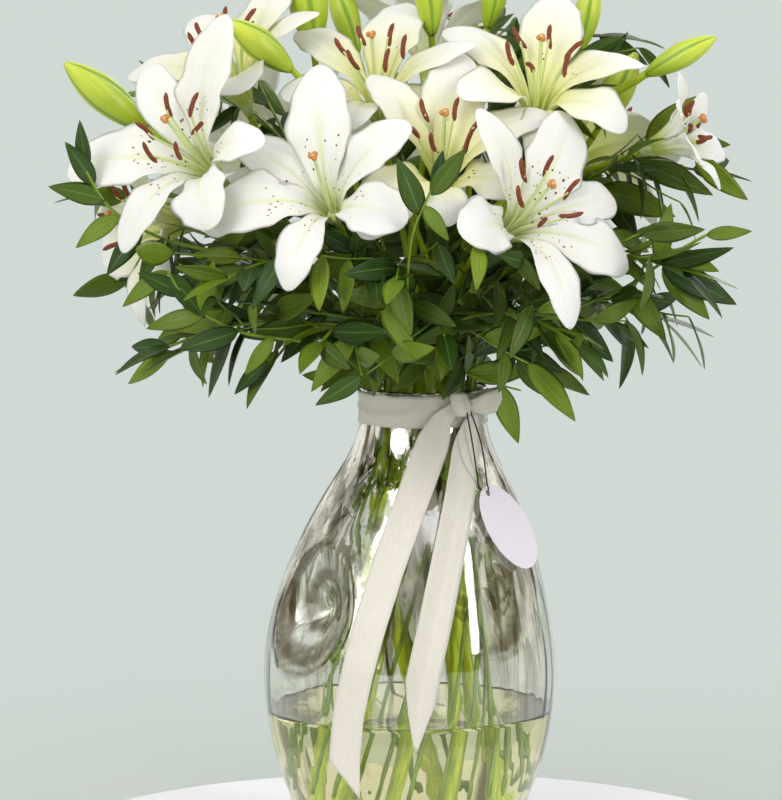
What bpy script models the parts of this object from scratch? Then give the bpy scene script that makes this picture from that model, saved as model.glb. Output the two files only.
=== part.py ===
"""A bouquet of white lilies and ruscus, standing in water in a pinched glass vase."""

import math
import random

import bpy
from mathutils import Vector
from mathutils.bvhtree import BVHTree

# ---- driving dimensions, in metres and degrees; azimuth 0 is the front (-Y), 90 is +X ----
GAP = 0.0004  # what touching pieces keep between them
CLEAR = 0.0006  # the least room between the flowers and leaves

VASE_SIDES = 24
VASE_WALL = 0.003
VASE_FLOOR = 0.008
VASE_HEIGHT = 0.345
VASE_PROFILE = (  # height, outer radius
    (0.000, 0.068), (0.005, 0.076), (0.014, 0.083), (0.034, 0.0905), (0.064, 0.101),
    (0.094, 0.107), (0.124, 0.1098), (0.154, 0.108), (0.184, 0.102), (0.214, 0.093),
    (0.244, 0.0815), (0.274, 0.0665), (0.296, 0.0545), (0.315, 0.0485), (0.332, 0.047),
    (0.345, 0.0485),
)
BAND_HEIGHTS = (0.3185, 0.331, 0.3425)
VASE_RINGS = (0, 0.005, 0.018, 0.050, 0.102, 0.132, 0.158, 0.184, 0.210, 0.236,
              0.262, 0.288, *BAND_HEIGHTS, VASE_HEIGHT)
NECK_SHIFT = 0.010  # the mouth leans this far towards +X
DIMPLES = ((-50, 0.184), (145, 0.170))  # azimuth, height
DIMPLE_SIZE = (0.046, 0.052)  # half width round the wall, half height
DIMPLE_DEPTH = 0.030
WATER_LEVEL = 0.102

RIBBON_WIDTH = 0.025
RIBBON_THICKNESS = 0.0006
KNOT_AZIMUTH = 29
KNOT_HEIGHT = 0.337
KNOT_RADIUS, KNOT_RISE = 0.007, 0.011  # the knot is twice as high as its rise
LOOP_SIZE = (0.014, 0.0042, 0.0075)  # half width, half depth, half height
TAIL_STEPS = 3  # how finely the tails are divided between the points of their routes
TAIL_OFF = 0.0022  # the ribbon's tails lie this far off the glass
LONG_TAIL = ((0.023, 0.3255), (0.011, 0.292), (-0.003, 0.256), (-0.017, 0.218), (-0.029, 0.180),
             (-0.038, 0.146), (-0.045, 0.112), (-0.048, 0.080), (-0.048, 0.050))
SHORT_TAIL = ((0.0445, 0.3255), (0.040, 0.292), (0.034, 0.256), (0.026, 0.218), (0.018, 0.180),
              (0.010, 0.144), (0.005, 0.116), (0.002, 0.082))

TAG_PLACE = (53, 0.244)  # azimuth and height of the glass behind the tag's middle
TAG_OFF = 0.0032
TAG_FACING = (46, 22)  # azimuth and how far the face looks up
TAG_TILT = 23
TAG_SIZE = (0.022, 0.035)  # half width, half height
TAG_THICKNESS = 0.0008
TAG_HOLE = (0.0022, 0.0295)  # radius, height above the centre
CORD_DIAMETER = 0.0012

FOOT_Z = 0.011  # the lowest end of a lily stem, in the water
SLOT_TWIST = 75  # how far the stems wind round between foot and neck
NECK_Z = 0.335
LILY_NECK, LILY_FOOT = 0.0245, 0.056  # how far from the axis the lily stems pass
LAST_STRAIGHT = 0.005  # a pedicel's straight end
STEM_RADII = (0.0048, 0.0027)  # at its foot and under its flower
PEDICEL_RADII = (0.0021, 0.0024)
FERN_NECK, FERN_FOOT = 0.0385, 0.074
FERN_Z = 0.045  # the lowest end of a ruscus stem

TEPAL_LENGTH = 0.112
INNER_WIDTH, OUTER_WIDTH = 0.049, 0.036
INNER_SHARE, OUTER_SHARE = 0.62, 0.42  # half widths near the throat, as shares of the distance from it
TEPAL_THICKNESS = 0.0014
HEART_RADIUS = 0.0042
LEAF_LENGTH, LEAF_WIDTH = 0.050, 0.016
LEAF_THICKNESS = 0.0012
LEAF_STEP = 0.0230
LEAF_TRIES = [(turn, share) for share in (1, 0.8, 0.65)
              for turn in (0, 25, -25, 50, -50, 80, -80, 115, -115, 150, -150)]
STALK_RADIUS, TWIG_RADIUS = 0.0017, 0.0012
IN_VASE_POINTS = 4
TWIG_PLACES = (0.38, 0.62)
TWIG_LENGTH = 0.085

STEP = 60  # between one tepal and the next

# name: throat, facing, size, then the tepals' (azimuth, length, spread, curl), inner and outer in turn
BLOOMS = {
    "lily_bloom_01": ((0.066, -0.098, 0.466), (0.52, -0.72, 0.46), 1.00,
                      ((38, 1.10, 70, 40), (84, 1.00, 74, 45), (124, 0.98, 70, 30),
                       (180, 1.05, 70, 30), (262, 0.80, 62, 30), (-20, 1.00, 62, 30))),
    "lily_bloom_02": ((-0.055, -0.100, 0.480), (-0.22, -0.80, 0.56), 1.00,
                      ((-8, 1.10, 66, 20), (48, 0.95, 62, 40), (108, 0.80, 66, 40),
                       (190, 0.95, 70, 45), (252, 1.10, 74, 60), (300, 0.95, 70, 50))),
    "lily_bloom_03": ((-0.140, -0.085, 0.508), (-0.55, -0.66, 0.52), 1.00,
                      ((12, 1.18, 60, 15), (76, 0.80, 60, 60), (140, 0.85, 66, 50),
                       (198, 1.00, 72, 40), (254, 1.15, 70, 30), (-44, 1.05, 66, 40))),
    "lily_bloom_04": ((0.022, -0.080, 0.492), (0.05, -0.58, 0.81), 1.00,
                      ((12, 1.08, 60, 20), (64, 1.05, 70, 30), (124, 0.85, 72, 35),
                       (182, 0.75, 70, 30), (242, 1.02, 74, 35), (-28, 1.04, 60, 30))),
    "lily_bloom_05": ((0.092, -0.030, 0.540), (0.08, -0.50, 0.86), 1.00,
                      ((18, 1.05, 62, 20), (72, 1.00, 72, 40), (130, 0.90, 70, 60),
                       (185, 0.85, 72, 60), (245, 0.90, 70, 50), (-48, 1.00, 66, 30))),
    "lily_bloom_06": ((-0.022, -0.028, 0.545), (-0.12, -0.48, 0.87), 0.95,
                      ((14, 1.00, 62, 25), (70, 0.95, 64, 30), (130, 0.85, 66, 30),
                       (185, 0.80, 66, 30), (240, 0.85, 66, 30), (-50, 1.00, 64, 30))),
    "lily_bloom_07": ((-0.122, -0.010, 0.556), (-0.34, -0.36, 0.87), 0.95,
                      ((5, 1.00, 58, 20), (60, 0.95, 60, 30), (120, 0.85, 62, 30),
                       (180, 0.85, 62, 30), (240, 0.95, 64, 30), (-58, 0.95, 62, 30))),
    "lily_bloom_08": ((-0.158, -0.020, 0.470), (-0.90, -0.42, -0.02), 0.95,
                      ((0, 0.95, 52, 30), (60, 0.90, 50, 30), (120, 0.90, 54, 40),
                       (180, 0.95, 58, 50), (240, 0.90, 56, 30), (-58, 0.95, 56, 30))),
    "lily_bloom_09": ((0.178, -0.016, 0.524), (0.88, -0.28, 0.38), 0.62,
                      ((0, 0.95, 40, 30), (60, 0.95, 40, 20), (120, 0.95, 44, 25),
                       (180, 0.95, 46, 30), (240, 0.95, 42, 25), (-60, 0.95, 40, 30))),
    "lily_bloom_10": ((-0.100, 0.095, 0.500), (-0.52, 0.72, 0.46), 1.00,
                      tuple((10 + STEP * k, 1.0, 68, 35) for k in range(6))),
    "lily_bloom_11": ((0.004, 0.112, 0.475), (0.05, 0.84, 0.54), 1.00,
                      tuple((-14 + STEP * k, 1.0, 70, 40) for k in range(6))),
    "lily_bloom_12": ((0.112, 0.090, 0.502), (0.56, 0.68, 0.48), 1.00,
                      tuple((25 + STEP * k, 1.0, 68, 35) for k in range(6))),
    "lily_bloom_13": ((0.014, 0.076, 0.566), (0.03, 0.46, 0.88), 0.90,
                      tuple((5 + STEP * k, 0.95, 58, 25) for k in range(6))),
}

# name: base, tip, width
BUDS = {
    "lily_bud_01": ((-0.196, -0.030, 0.541), (-0.254, -0.050, 0.590), 0.026),
    "lily_bud_02": ((-0.088, -0.045, 0.585), (-0.132, -0.060, 0.622), 0.023),
    "lily_bud_03": ((0.177, 0.010, 0.578), (0.228, 0.000, 0.606), 0.019),
    "lily_bud_04": ((0.142, 0.040, 0.536), (0.170, 0.036, 0.592), 0.025),
    "lily_bud_05": ((0.126, 0.055, 0.590), (0.140, 0.060, 0.646), 0.020),
    "lily_bud_06": ((-0.072, 0.010, 0.598), (-0.080, 0.005, 0.672), 0.030),
    "lily_bud_07": ((0.016, -0.005, 0.608), (0.012, -0.010, 0.668), 0.021),
    "lily_bud_08": ((0.058, 0.020, 0.612), (0.072, 0.016, 0.674), 0.020),
    "lily_bud_09": ((-0.040, 0.070, 0.590), (-0.058, 0.090, 0.648), 0.021),
}

# slot azimuth at the neck, then what the stem carries: the first ends it, the rest fork off
STEMS = {
    "lily_stem_1": (-82, ("lily_bloom_03", "lily_bloom_08", "lily_bud_01")),
    "lily_stem_2": (-30, ("lily_bloom_02", "lily_bud_02")),
    "lily_stem_3": (10, ("lily_bloom_04", "lily_bloom_06", "lily_bud_07")),
    "lily_stem_4": (55, ("lily_bloom_01", "lily_bloom_05")),
    "lily_stem_5": (98, ("lily_bud_03", "lily_bloom_09", "lily_bud_04")),
    "lily_stem_6": (140, ("lily_bloom_12", "lily_bud_05", "lily_bud_08")),
    "lily_stem_7": (182, ("lily_bloom_11", "lily_bloom_13", "lily_bud_09")),
    "lily_stem_8": (-128, ("lily_bloom_10", "lily_bloom_07", "lily_bud_06")),
}

# azimuth at the neck, then where the branch ends: azimuth, distance from the axis, height
BRANCHES = (
    (-60, (-62, 0.200, 0.385)), (-22, (-26, 0.150, 0.392)), (20, (12, 0.120, 0.395)),
    (48, (44, 0.170, 0.392)), (84, (82, 0.190, 0.398)), (128, (130, 0.180, 0.405)),
    (176, (178, 0.170, 0.400)), (-134, (-132, 0.185, 0.405)), (-96, (-100, 0.215, 0.420)),
    (-78, (-84, 0.228, 0.490)), (-42, (-44, 0.190, 0.440)), (2, (-4, 0.140, 0.440)),
    (34, (30, 0.165, 0.452)), (66, (68, 0.215, 0.440)), (102, (98, 0.215, 0.505)),
    (148, (152, 0.200, 0.490)), (-160, (-158, 0.200, 0.500)), (-116, (-112, 0.200, 0.560)),
    (116, (112, 0.180, 0.600)), (-178, (150, 0.125, 0.605)),
)


# ---- small helpers ----
def heading(azimuth):
    """The level direction at that azimuth."""
    a = math.radians(azimuth)
    return Vector((math.sin(a), -math.cos(a), 0))


def eased(x):
    x = min(1, max(0, x))
    return x * x * (3 - 2 * x)


def through(table, x):
    """A smooth curve through the table's points, read at x."""
    k = max(i for i in range(len(table) - 1) if i == 0 or table[i][0] <= x)
    slope = []
    for i in (k, k + 1):
        a, b = table[max(0, i - 1)], table[min(len(table) - 1, i + 1)]
        slope.append((b[1] - a[1]) / (b[0] - a[0]))
    (x0, y0), (x1, y1) = table[k], table[k + 1]
    t = min(1, max(0, (x - x0) / (x1 - x0)))
    span = x1 - x0
    return ((2 * t**3 - 3 * t**2 + 1) * y0 + (t**3 - 2 * t**2 + t) * span * slope[0]
            + (3 * t**2 - 2 * t**3) * y1 + (t**3 - t**2) * span * slope[1])


def bezier(a, b, c, d, count):
    """count points along a cubic, ends included."""
    points = []
    for i in range(count):
        t = i / (count - 1)
        u = 1 - t
        points.append(a * u**3 + b * 3 * u * u * t + c * 3 * u * t * t + d * t**3)
    return points


def resampled(points, count):
    """count points spread evenly along a line."""
    lengths = [0]
    for a, b in zip(points, points[1:]):
        lengths.append(lengths[-1] + (b - a).length)
    found, k = [], 0
    for i in range(count):
        at = lengths[-1] * i / (count - 1)
        while k < len(points) - 2 and lengths[k + 1] < at:
            k += 1
        part = (at - lengths[k]) / max(1e-9, lengths[k + 1] - lengths[k])
        found.append(points[k].lerp(points[k + 1], min(1, part)))
    return found


def tangents(points):
    ends = [points[0]] + list(points) + [points[-1]]
    return [(ends[i + 2] - ends[i]).normalized() for i in range(len(points))]


def material(name, colour, roughness, alpha=1.0):
    m = bpy.data.materials.new(name)
    m.use_nodes = True
    shader = m.node_tree.nodes["Principled BSDF"]
    shader.inputs["Base Color"].default_value = (*colour, 1)
    shader.inputs["Roughness"].default_value = roughness
    shader.inputs["Metallic"].default_value = 0
    shader.inputs["Alpha"].default_value = alpha
    return m


def solid(name, shape, finish=None):
    """An object made from (points, faces)."""
    mesh = bpy.data.meshes.new(name)
    mesh.from_pydata([tuple(p) for p in shape[0]], [], shape[1])
    piece = bpy.data.objects.new(name, mesh)
    bpy.context.collection.objects.link(piece)
    if finish:
        mesh.materials.append(finish)
    return piece


def combined(name, shapes, finish, operation="UNION"):
    """The first shape with the others joined to it, or cut from it."""
    piece = solid(name, shapes[0], finish)
    if len(shapes) == 1:
        return piece
    tools = bpy.data.collections.new(name + "_tools")
    bpy.context.scene.collection.children.link(tools)
    for k, shape in enumerate(shapes[1:]):
        tool = solid(f"{name}_tool_{k}", shape)
        bpy.context.collection.objects.unlink(tool)
        tools.objects.link(tool)
        tool.hide_render = True
        tool.display_type = "WIRE"
    change = piece.modifiers.new("pieces", "BOOLEAN")
    change.operand_type = "COLLECTION"
    change.collection = tools
    change.operation = operation
    change.solver = "EXACT"
    return piece


# ---- basic shapes: each gives (points, faces), closed, faces outward ----
def skin(rings, closed=True):
    """Rings of equal count joined into a surface, each end filled."""
    n = len(rings[0])
    points = [p for ring in rings for p in ring]
    faces = []
    for k in range(len(rings) - 1):
        for i in range(n):
            j = (i + 1) % n
            faces.append((k * n + i, k * n + j, (k + 1) * n + j))
            faces.append((k * n + i, (k + 1) * n + j, (k + 1) * n + i))
    if closed:
        faces.append(tuple(reversed(range(n))))
        faces.append(tuple(range((len(rings) - 1) * n, len(rings) * n)))
    return points, faces


def tube(points, radii, sides):
    """A round bar along the points; radii is one number or one at each point."""
    if not hasattr(radii, "__len__"):
        radii = [radii] * len(points)
    ways = tangents(points)
    across = ways[0].orthogonal().normalized()
    rings = []
    for p, way, r in zip(points, ways, radii):
        across = (across - way * across.dot(way)).normalized()
        up = way.cross(across)
        turns = [2 * math.pi * i / sides for i in range(sides)]
        rings.append([p + (across * math.cos(a) + up * math.sin(a)) * r for a in turns])
    return skin(rings)


def spindle(base, tip, radius, sides, profile):
    """A turned shape from base to tip; profile gives (place, share of the radius)."""
    way = (tip - base).normalized()
    across = way.orthogonal().normalized()
    up = way.cross(across)
    rings = []
    for place, share in profile:
        p = base.lerp(tip, place)
        turns = [2 * math.pi * i / sides for i in range(sides)]
        rings.append([p + (across * math.cos(a) + up * math.sin(a)) * radius * share for a in turns])
    return skin(rings)


# ---- which places are taken ----
class Room:
    """Keeps the faces of the placed pieces, so that a new one can be tried against them."""

    def __init__(self):
        self.taken = []

    def tree(self, shape):
        points = [Vector(p) for p in shape[0]]
        middle = sum(points, Vector()) / len(points)
        reach = max((p - middle).length for p in points) + CLEAR
        return middle, reach, BVHTree.FromPolygons(points, shape[1], epsilon=CLEAR)

    def add(self, shape, owner=None):
        self.taken.append((owner, *self.tree(shape)))

    def free(self, shape, owner=None):
        """Whether the shape keeps clear of all but its owner's pieces."""
        middle, reach, tree = self.tree(shape)
        for other_owner, other_middle, other_reach, other in self.taken:
            if owner is not None and other_owner == owner:
                continue
            if (other_middle - middle).length < reach + other_reach and tree.overlap(other):
                return False
        return True


# ---- vase ----
def vase_centre(z):
    return Vector((NECK_SHIFT * eased((z - 0.15) / 0.17), 0, z))


def dent(azimuth, z):
    """How far the pinches push the wall in."""
    depth = 0
    for at, height in DIMPLES:
        turn = (azimuth - at + 180) % 360 - 180
        along = math.radians(turn) * 0.1 / DIMPLE_SIZE[0]
        off = math.hypot(along, (z - height) / DIMPLE_SIZE[1])
        depth += DIMPLE_DEPTH * max(0, 1 - off) ** 1.5
    return depth


def vase_point(azimuth, z, inset=0.0):
    r = through(VASE_PROFILE, z) - inset - dent(azimuth, z)
    return vase_centre(z) + heading(azimuth) * r


def vase_ring(z, inset=0.0, height=None):
    turns = [DIMPLES[0][0] + 360 * i / VASE_SIDES for i in range(VASE_SIDES)]
    ring = [vase_point(a, z, inset) for a in turns]
    if height is not None:
        for p in ring:
            p.z = height
    return ring


def make_vase():
    outside = [vase_ring(z) for z in VASE_RINGS]
    inside = [vase_ring(z, VASE_WALL) for z in reversed(VASE_RINGS) if z > VASE_FLOOR]
    floor = vase_ring(VASE_FLOOR, VASE_WALL + 0.002)
    solid("vase", skin(outside + inside + [floor]), material("glass", (0.80, 0.78, 0.70), 0.03, 0.35))


def make_water(stems):
    """The water fills the vase to its level, but for the stems that stand in it."""
    inset = VASE_WALL + GAP
    heights = [z for z in VASE_RINGS if VASE_FLOOR < z < WATER_LEVEL] + [WATER_LEVEL]
    floor = vase_ring(VASE_FLOOR, VASE_WALL + 0.003, VASE_FLOOR + GAP)
    body = skin([floor] + [vase_ring(z, inset) for z in heights])
    combined("water", [body] + stems, material("water", (0.80, 0.84, 0.72), 0.02, 0.3), "DIFFERENCE")


# ---- ribbon, tag and cord ----
def on_glass(x, z, off):
    """The point off the front of the vase at x; below its widest part it hangs straight down."""
    r = through(VASE_PROFILE, max(z, 0.124)) + off
    centre = vase_centre(max(z, 0.124))
    return Vector((x, -math.sqrt(r * r - (x - centre.x) ** 2), z))


def strip(points, normals, widths, thickness):
    """A flat band along the points, with square edges."""
    rings = []
    for p, way, normal, width in zip(points, tangents(points), normals, widths):
        side = way.cross(normal).normalized() * (width / 2)
        out = normal * thickness
        rings.append([p - side, p - side + out, p + side + out, p + side])
    return skin(rings)


def tail_shape(route, first, last):
    """A tail of the ribbon; first and last are its widths at the knot and at its end."""
    points = smooth_route([on_glass(x, z, TAIL_OFF) for x, z in route], TAIL_STEPS)
    count = len(points) - 1
    widths = [min(RIBBON_WIDTH, first + (RIBBON_WIDTH - first) * k / TAIL_STEPS,
                  last + (RIBBON_WIDTH - last) * (count - k) / TAIL_STEPS) for k in range(count + 1)]
    normals = []
    for p, way in zip(points, tangents(points)):
        away = p - vase_centre(p.z)
        normals.append((away - way * away.dot(way)).normalized())
    return strip(points, normals, widths, RIBBON_THICKNESS)


def knot_axes():
    """The knot's outward and right directions, and its middle."""
    out, right = heading(KNOT_AZIMUTH), heading(KNOT_AZIMUTH + 90)
    r = through(VASE_PROFILE, KNOT_HEIGHT) + RIBBON_THICKNESS + 2 * GAP + KNOT_RADIUS
    return out, right, vase_centre(KNOT_HEIGHT) + out * r


def make_ribbon():
    satin = material("ribbon", (0.68, 0.62, 0.54), 0.35)
    near, far = GAP, GAP + RIBBON_THICKNESS
    outside = [vase_ring(z, -far) for z in BAND_HEIGHTS]
    inside = [vase_ring(z, -near) for z in reversed(BAND_HEIGHTS)]
    points, faces = skin(outside + inside, closed=False)
    n, last = VASE_SIDES, (2 * len(BAND_HEIGHTS) - 1) * VASE_SIDES
    faces += [(last + i, last + (i + 1) % n, (i + 1) % n, i) for i in range(n)]
    solid("ribbon_band", (points, faces), satin)

    out, right, middle = knot_axes()
    low, high = Vector((0, 0, -KNOT_RISE)), Vector((0, 0, KNOT_RISE))
    solid("ribbon_knot", spindle(middle + low, middle + high, KNOT_RADIUS, 8,
                                 ((0, 0.45), (0.25, 0.85), (0.5, 1), (0.75, 0.85), (1, 0.45))), satin)

    start = middle + right * (KNOT_RADIUS + GAP + LOOP_SIZE[0] + RIBBON_THICKNESS)
    loop = [start + right * (LOOP_SIZE[0] * math.cos(a)) + out * (LOOP_SIZE[1] * math.sin(a))
            for a in [2 * math.pi * k / 10 for k in range(10)]]
    rings = []
    for k, p in enumerate(loop):
        normal = (p - start).normalized()
        up = Vector((0, 0, LOOP_SIZE[2]))
        thick = normal * RIBBON_THICKNESS
        rings.append([p - up, p - up + thick, p + up + thick, p + up])
    points, faces = skin(rings, closed=False)
    end = (len(rings) - 1) * 4
    faces += [(end + i, end + (i + 1) % 4, (i + 1) % 4, i) for i in range(4)]
    solid("ribbon_loop", (points, faces), satin)

    solid("ribbon_tail_long", tail_shape(LONG_TAIL, RIBBON_WIDTH * 0.7, RIBBON_WIDTH), satin)
    solid("ribbon_tail_short", tail_shape(SHORT_TAIL, RIBBON_WIDTH * 0.55, 0.002), satin)


def tag_axes():
    """The tag's right, up and outward directions."""
    azimuth, lift = TAG_FACING
    lift, tilt = math.radians(lift), math.radians(TAG_TILT)
    level, side = heading(azimuth), heading(azimuth + 90)
    out = level * math.cos(lift) + Vector((0, 0, math.sin(lift)))
    up = out.cross(side)
    up = up if up.z > 0 else -up
    return side * math.cos(tilt) + up * math.sin(tilt), up * math.cos(tilt) - side * math.sin(tilt), out


def tag_centre():
    return vase_point(*TAG_PLACE) + tag_axes()[2] * TAG_OFF


def make_tag():
    side, up, out = tag_axes()
    count = 24
    turns = [2 * math.pi * k / count for k in range(count)]
    rim = [(TAG_SIZE[0] * math.cos(a), TAG_SIZE[1] * math.sin(a)) for a in turns]
    hole = [(TAG_HOLE[0] * math.cos(a), TAG_HOLE[1] + TAG_HOLE[0] * math.sin(a)) for a in turns]

    def ring(outline, depth):
        return [tag_centre() + side * x + up * y + out * depth for x, y in outline]

    rings = [ring(rim, 0), ring(rim, TAG_THICKNESS), ring(hole, TAG_THICKNESS), ring(hole, 0)]
    points, faces = skin(rings, closed=False)
    last = 3 * count
    faces += [(last + i, last + (i + 1) % count, (i + 1) % count, i) for i in range(count)]
    solid("tag", (points, faces), material("card", (0.86, 0.78, 0.86), 0.6))


def cord_route():
    """From the knot down through the tag's hole and back up to the knot."""
    side, up, out = tag_axes()
    hang = TAG_HOLE[1] + TAG_HOLE[0] - CORD_DIAMETER / 2 - 2 * GAP
    hole = tag_centre() + up * hang + out * (TAG_THICKNESS / 2)
    before, behind = out * 0.0030, out * -0.0030
    knot_out, knot_right, knot = knot_axes()
    start = knot + knot_right * 0.0058 + knot_out * 0.0044 - Vector((0, 0, 0.0040))
    end = knot + knot_right * 0.0025 + knot_out * 0.0064 - Vector((0, 0, 0.0060))
    above = hole + up * 0.0072 + side * 0.0012 + before * 1.3
    rear = hole + up * 0.0072 - side * 0.0010 + behind * 1.06

    def strand(a, b, aside, off):
        bows = [(t, math.sin(math.pi * t)) for t in (0.13, 0.32, 0.5, 0.7, 0.88)]
        return [a.lerp(b, t) + side * (aside * bow) + out * (off * bow) for t, bow in bows]

    return [
        start,
        *strand(start, above, 0.003, 0.001),
        above,
        hole + up * 0.0022 + before,
        hole,
        hole + up * 0.0022 + behind,
        rear,
        *strand(rear, end, -0.003, 0.003),
        end,
    ]


def smooth_route(points, per_span):
    """A smooth curve through the points."""
    found = []
    for k in range(len(points) - 1):
        a, b = points[max(0, k - 1)], points[min(len(points) - 1, k + 2)]
        p, q = points[k], points[k + 1]
        found += bezier(p, p + (q - a) / 6, q - (b - p) / 6, q, per_span + 1)[:-1]
    return found + [points[-1]]


def make_cord():
    points = resampled(smooth_route(cord_route(), 8), 40)
    curve = bpy.data.curves.new("tag_cord", "CURVE")
    curve.dimensions = "3D"
    curve.bevel_depth = CORD_DIAMETER / 2
    curve.bevel_resolution = 2
    curve.use_fill_caps = True
    line = curve.splines.new("POLY")
    line.points.add(len(points) - 1)
    for slot, p in zip(line.points, points):
        slot.co = (*p, 1)
    cord = bpy.data.objects.new("tag_cord", curve)
    bpy.context.collection.objects.link(cord)
    curve.materials.append(material("cord", (0.02, 0.02, 0.02), 0.7))


# ---- lilies ----
def facing_axes(direction):
    """The flower's axis, and its up and right as seen from in front of it."""
    axis = Vector(direction).normalized()
    up = Vector((0, 0, 1))
    up = (up - axis * up.dot(axis)).normalized()
    return axis, up, up.cross(axis)


def tepal_line(bloom, tepal, count):
    """Along a tepal's midrib: its place along it, point, side and inner normal."""
    throat, direction, size = bloom[:3]
    azimuth, length, spread, curl = tepal
    axis, up, right = facing_axes(direction)
    a = math.radians(azimuth)
    radial = up * math.cos(a) + right * math.sin(a)
    side = axis.cross(radial)
    full = TEPAL_LENGTH * size * length
    p = Vector(throat) + radial * HEART_RADIUS
    fine, line = 48, []
    for i in range(fine + 1):
        s = i / fine
        turn = 14 + (spread - 14) * eased(s / 0.62) + curl * max(0, (s - 0.4) / 0.6) ** 1.6
        t = math.radians(turn)
        way = axis * math.cos(t) + radial * math.sin(t)
        line.append((s, p.copy(), side, axis * math.sin(t) - radial * math.cos(t)))
        p += way * (full / fine)
    return [line[round(fine * k / (count - 1))] for k in range(count)]


def tepal_width(s):
    """The share of the full width at s along the tepal."""
    if s < 0.5:
        return 0.17 + 0.83 * math.sin(math.pi * s) ** 1.25
    return max(0, 1 - ((s - 0.5) / 0.5) ** 2.7)


def tepal_shape(bloom, k, tepal):
    """A tepal as a thin three-sided solid with its keel outside."""
    width = (INNER_WIDTH if k % 2 == 0 else OUTER_WIDTH) * bloom[2]
    share = INNER_SHARE if k % 2 == 0 else OUTER_SHARE
    throat, axis = Vector(bloom[0]), Vector(bloom[1]).normalized()
    rings = []
    for s, p, side, normal in tepal_line(bloom, tepal, 5):
        out = p - throat
        away = (out - axis * out.dot(axis)).length
        half = max(0.0006, min(width * tepal_width(s) / 2, away * share))
        rise = normal * (half * 0.42 * (1 - eased(s / 0.8)))
        keel = normal * (-TEPAL_THICKNESS if s < 1 else -TEPAL_THICKNESS / 3)
        rings.append([p + rise + side * half, p + rise - side * half, p + keel])
    return skin(rings)


def stamen_shapes(bloom):
    """Six filaments with their anthers, and the pistil."""
    throat, direction, size = bloom[:3]
    axis, up, right = facing_axes(direction)
    shapes = []
    for k in range(6):
        a = math.radians(STEP * k + 24)
        radial = up * math.cos(a) + right * math.sin(a)
        base = Vector(throat) + radial * 0.003 + axis * 0.003
        tip = Vector(throat) + (axis * 0.060 + radial * 0.020 + up * 0.004) * size
        mid = base.lerp(tip, 0.5) - radial * 0.003
        along = (axis * 0.5 + radial * 0.5 + up * 0.4).normalized() * (0.007 * size)
        shapes.append(tube([base, mid, tip, tip + along * 2], (0.0009, 0.0007, 0.0017, 0.0008), 3))
    base = Vector(throat) + axis * 0.003
    tip = Vector(throat) + (axis * 0.072 + up * 0.010) * size
    line = [base, base.lerp(tip, 0.5) - up * 0.002, tip, tip + axis * 0.003, tip + axis * 0.005]
    shapes.append(tube(line, (0.0016, 0.0012, 0.0014, 0.0035, 0.0022), 3))
    return shapes


def receptacle(bloom):
    throat, direction = bloom[:2]
    axis = Vector(direction).normalized()
    base, top = Vector(throat) - axis * 0.008, Vector(throat) + axis * 0.007
    return spindle(base, top, HEART_RADIUS * 1.6, 6, ((0, 0.5), (1, 1)))


def tepal_choices(tepal):
    """The tepal as wanted, then ever larger changes to it."""
    azimuth, length, spread, curl = tepal
    for shorter in (1, 0.93, 0.86, 0.78, 0.7):
        for lean in (0, -6, 6, -12, 12, -18, 18, -24):
            for turn in (0, -7, 7, -14, 14):
                for bend in (0, 20, -20):
                    yield azimuth + turn, length * shorter, spread + lean, curl + bend


def fitted_tepals(room, name, bloom):
    """Each tepal in the nearest form that keeps clear of what is placed already."""
    found = []
    for k, tepal in enumerate(bloom[3]):
        for choice in tepal_choices(tepal):
            if room.free(tepal_shape(bloom, k, choice), name):
                break
        else:
            print("no room for tepal", k, name)
        found.append(choice)
        room.add(tepal_shape(bloom, k, choice), name)
    return found


def place_blooms(room):
    """name to the shapes of each bloom: the hearts first, then tepals that fit round them."""
    placed = {name: [receptacle(bloom)] + stamen_shapes(bloom) for name, bloom in BLOOMS.items()}
    for name, shapes in placed.items():
        if not all(room.free(s) for s in shapes[1:]):
            print("heart touches", name)
        for shape in shapes:
            room.add(shape, name)
    for name, bloom in BLOOMS.items():
        for k, tepal in enumerate(fitted_tepals(room, name, bloom)):
            placed[name].append(tepal_shape(bloom, k, tepal))
    return placed


BUD_PROFILE = ((0, 0.30), (0.12, 0.62), (0.35, 0.95), (0.6, 1.0), (0.85, 0.62), (1, 0.16))


def bud_shape(bud):
    base, tip, width = bud
    return spindle(Vector(base), Vector(tip), width / 2, 6, BUD_PROFILE)


# ---- stems ----
def in_vase(azimuth, z, foot, neck):
    """The place at height z of a stem that passes the neck at that azimuth."""
    part = (z - FOOT_Z) / (NECK_Z - FOOT_Z)
    r = foot + (neck - foot) * part
    return vase_centre(z) + heading(azimuth - SLOT_TWIST * (1 - part)) * r


def end_of(name):
    """Where a pedicel ends, and the way it points there."""
    if name in BLOOMS:
        throat, direction = BLOOMS[name][:2]
        axis = Vector(direction).normalized()
        return Vector(throat) - axis * (0.008 + GAP), axis
    base, tip = Vector(BUDS[name][0]), Vector(BUDS[name][1])
    axis = (tip - base).normalized()
    return base - axis * GAP, axis


def stem_lines(azimuth, carried):
    """The main stem's line, then those of its forks."""
    heights = [FOOT_Z + (NECK_Z - FOOT_Z) * k / 6 for k in range(7)]
    low = [in_vase(azimuth, z, LILY_FOOT, LILY_NECK) for z in heights]
    end, axis = end_of(carried[0])
    way = (low[-1] - low[-2]).normalized()
    reach = (end - low[-1]).length * 0.38
    last = end - axis * LAST_STRAIGHT
    high = bezier(low[-1], low[-1] + way * reach, last - axis * reach, last, 8)
    main = low + high[1:] + [end]
    lines = [main]
    for k, name in enumerate(carried[1:]):
        start = main[9 - k]
        way = (main[10 - k] - main[8 - k]).normalized()
        end, axis = end_of(name)
        reach = (end - start).length * 0.35
        last = end - axis * LAST_STRAIGHT
        lines.append(bezier(start, start + way * reach, last - axis * reach, last, 6) + [end])
    return lines


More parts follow.
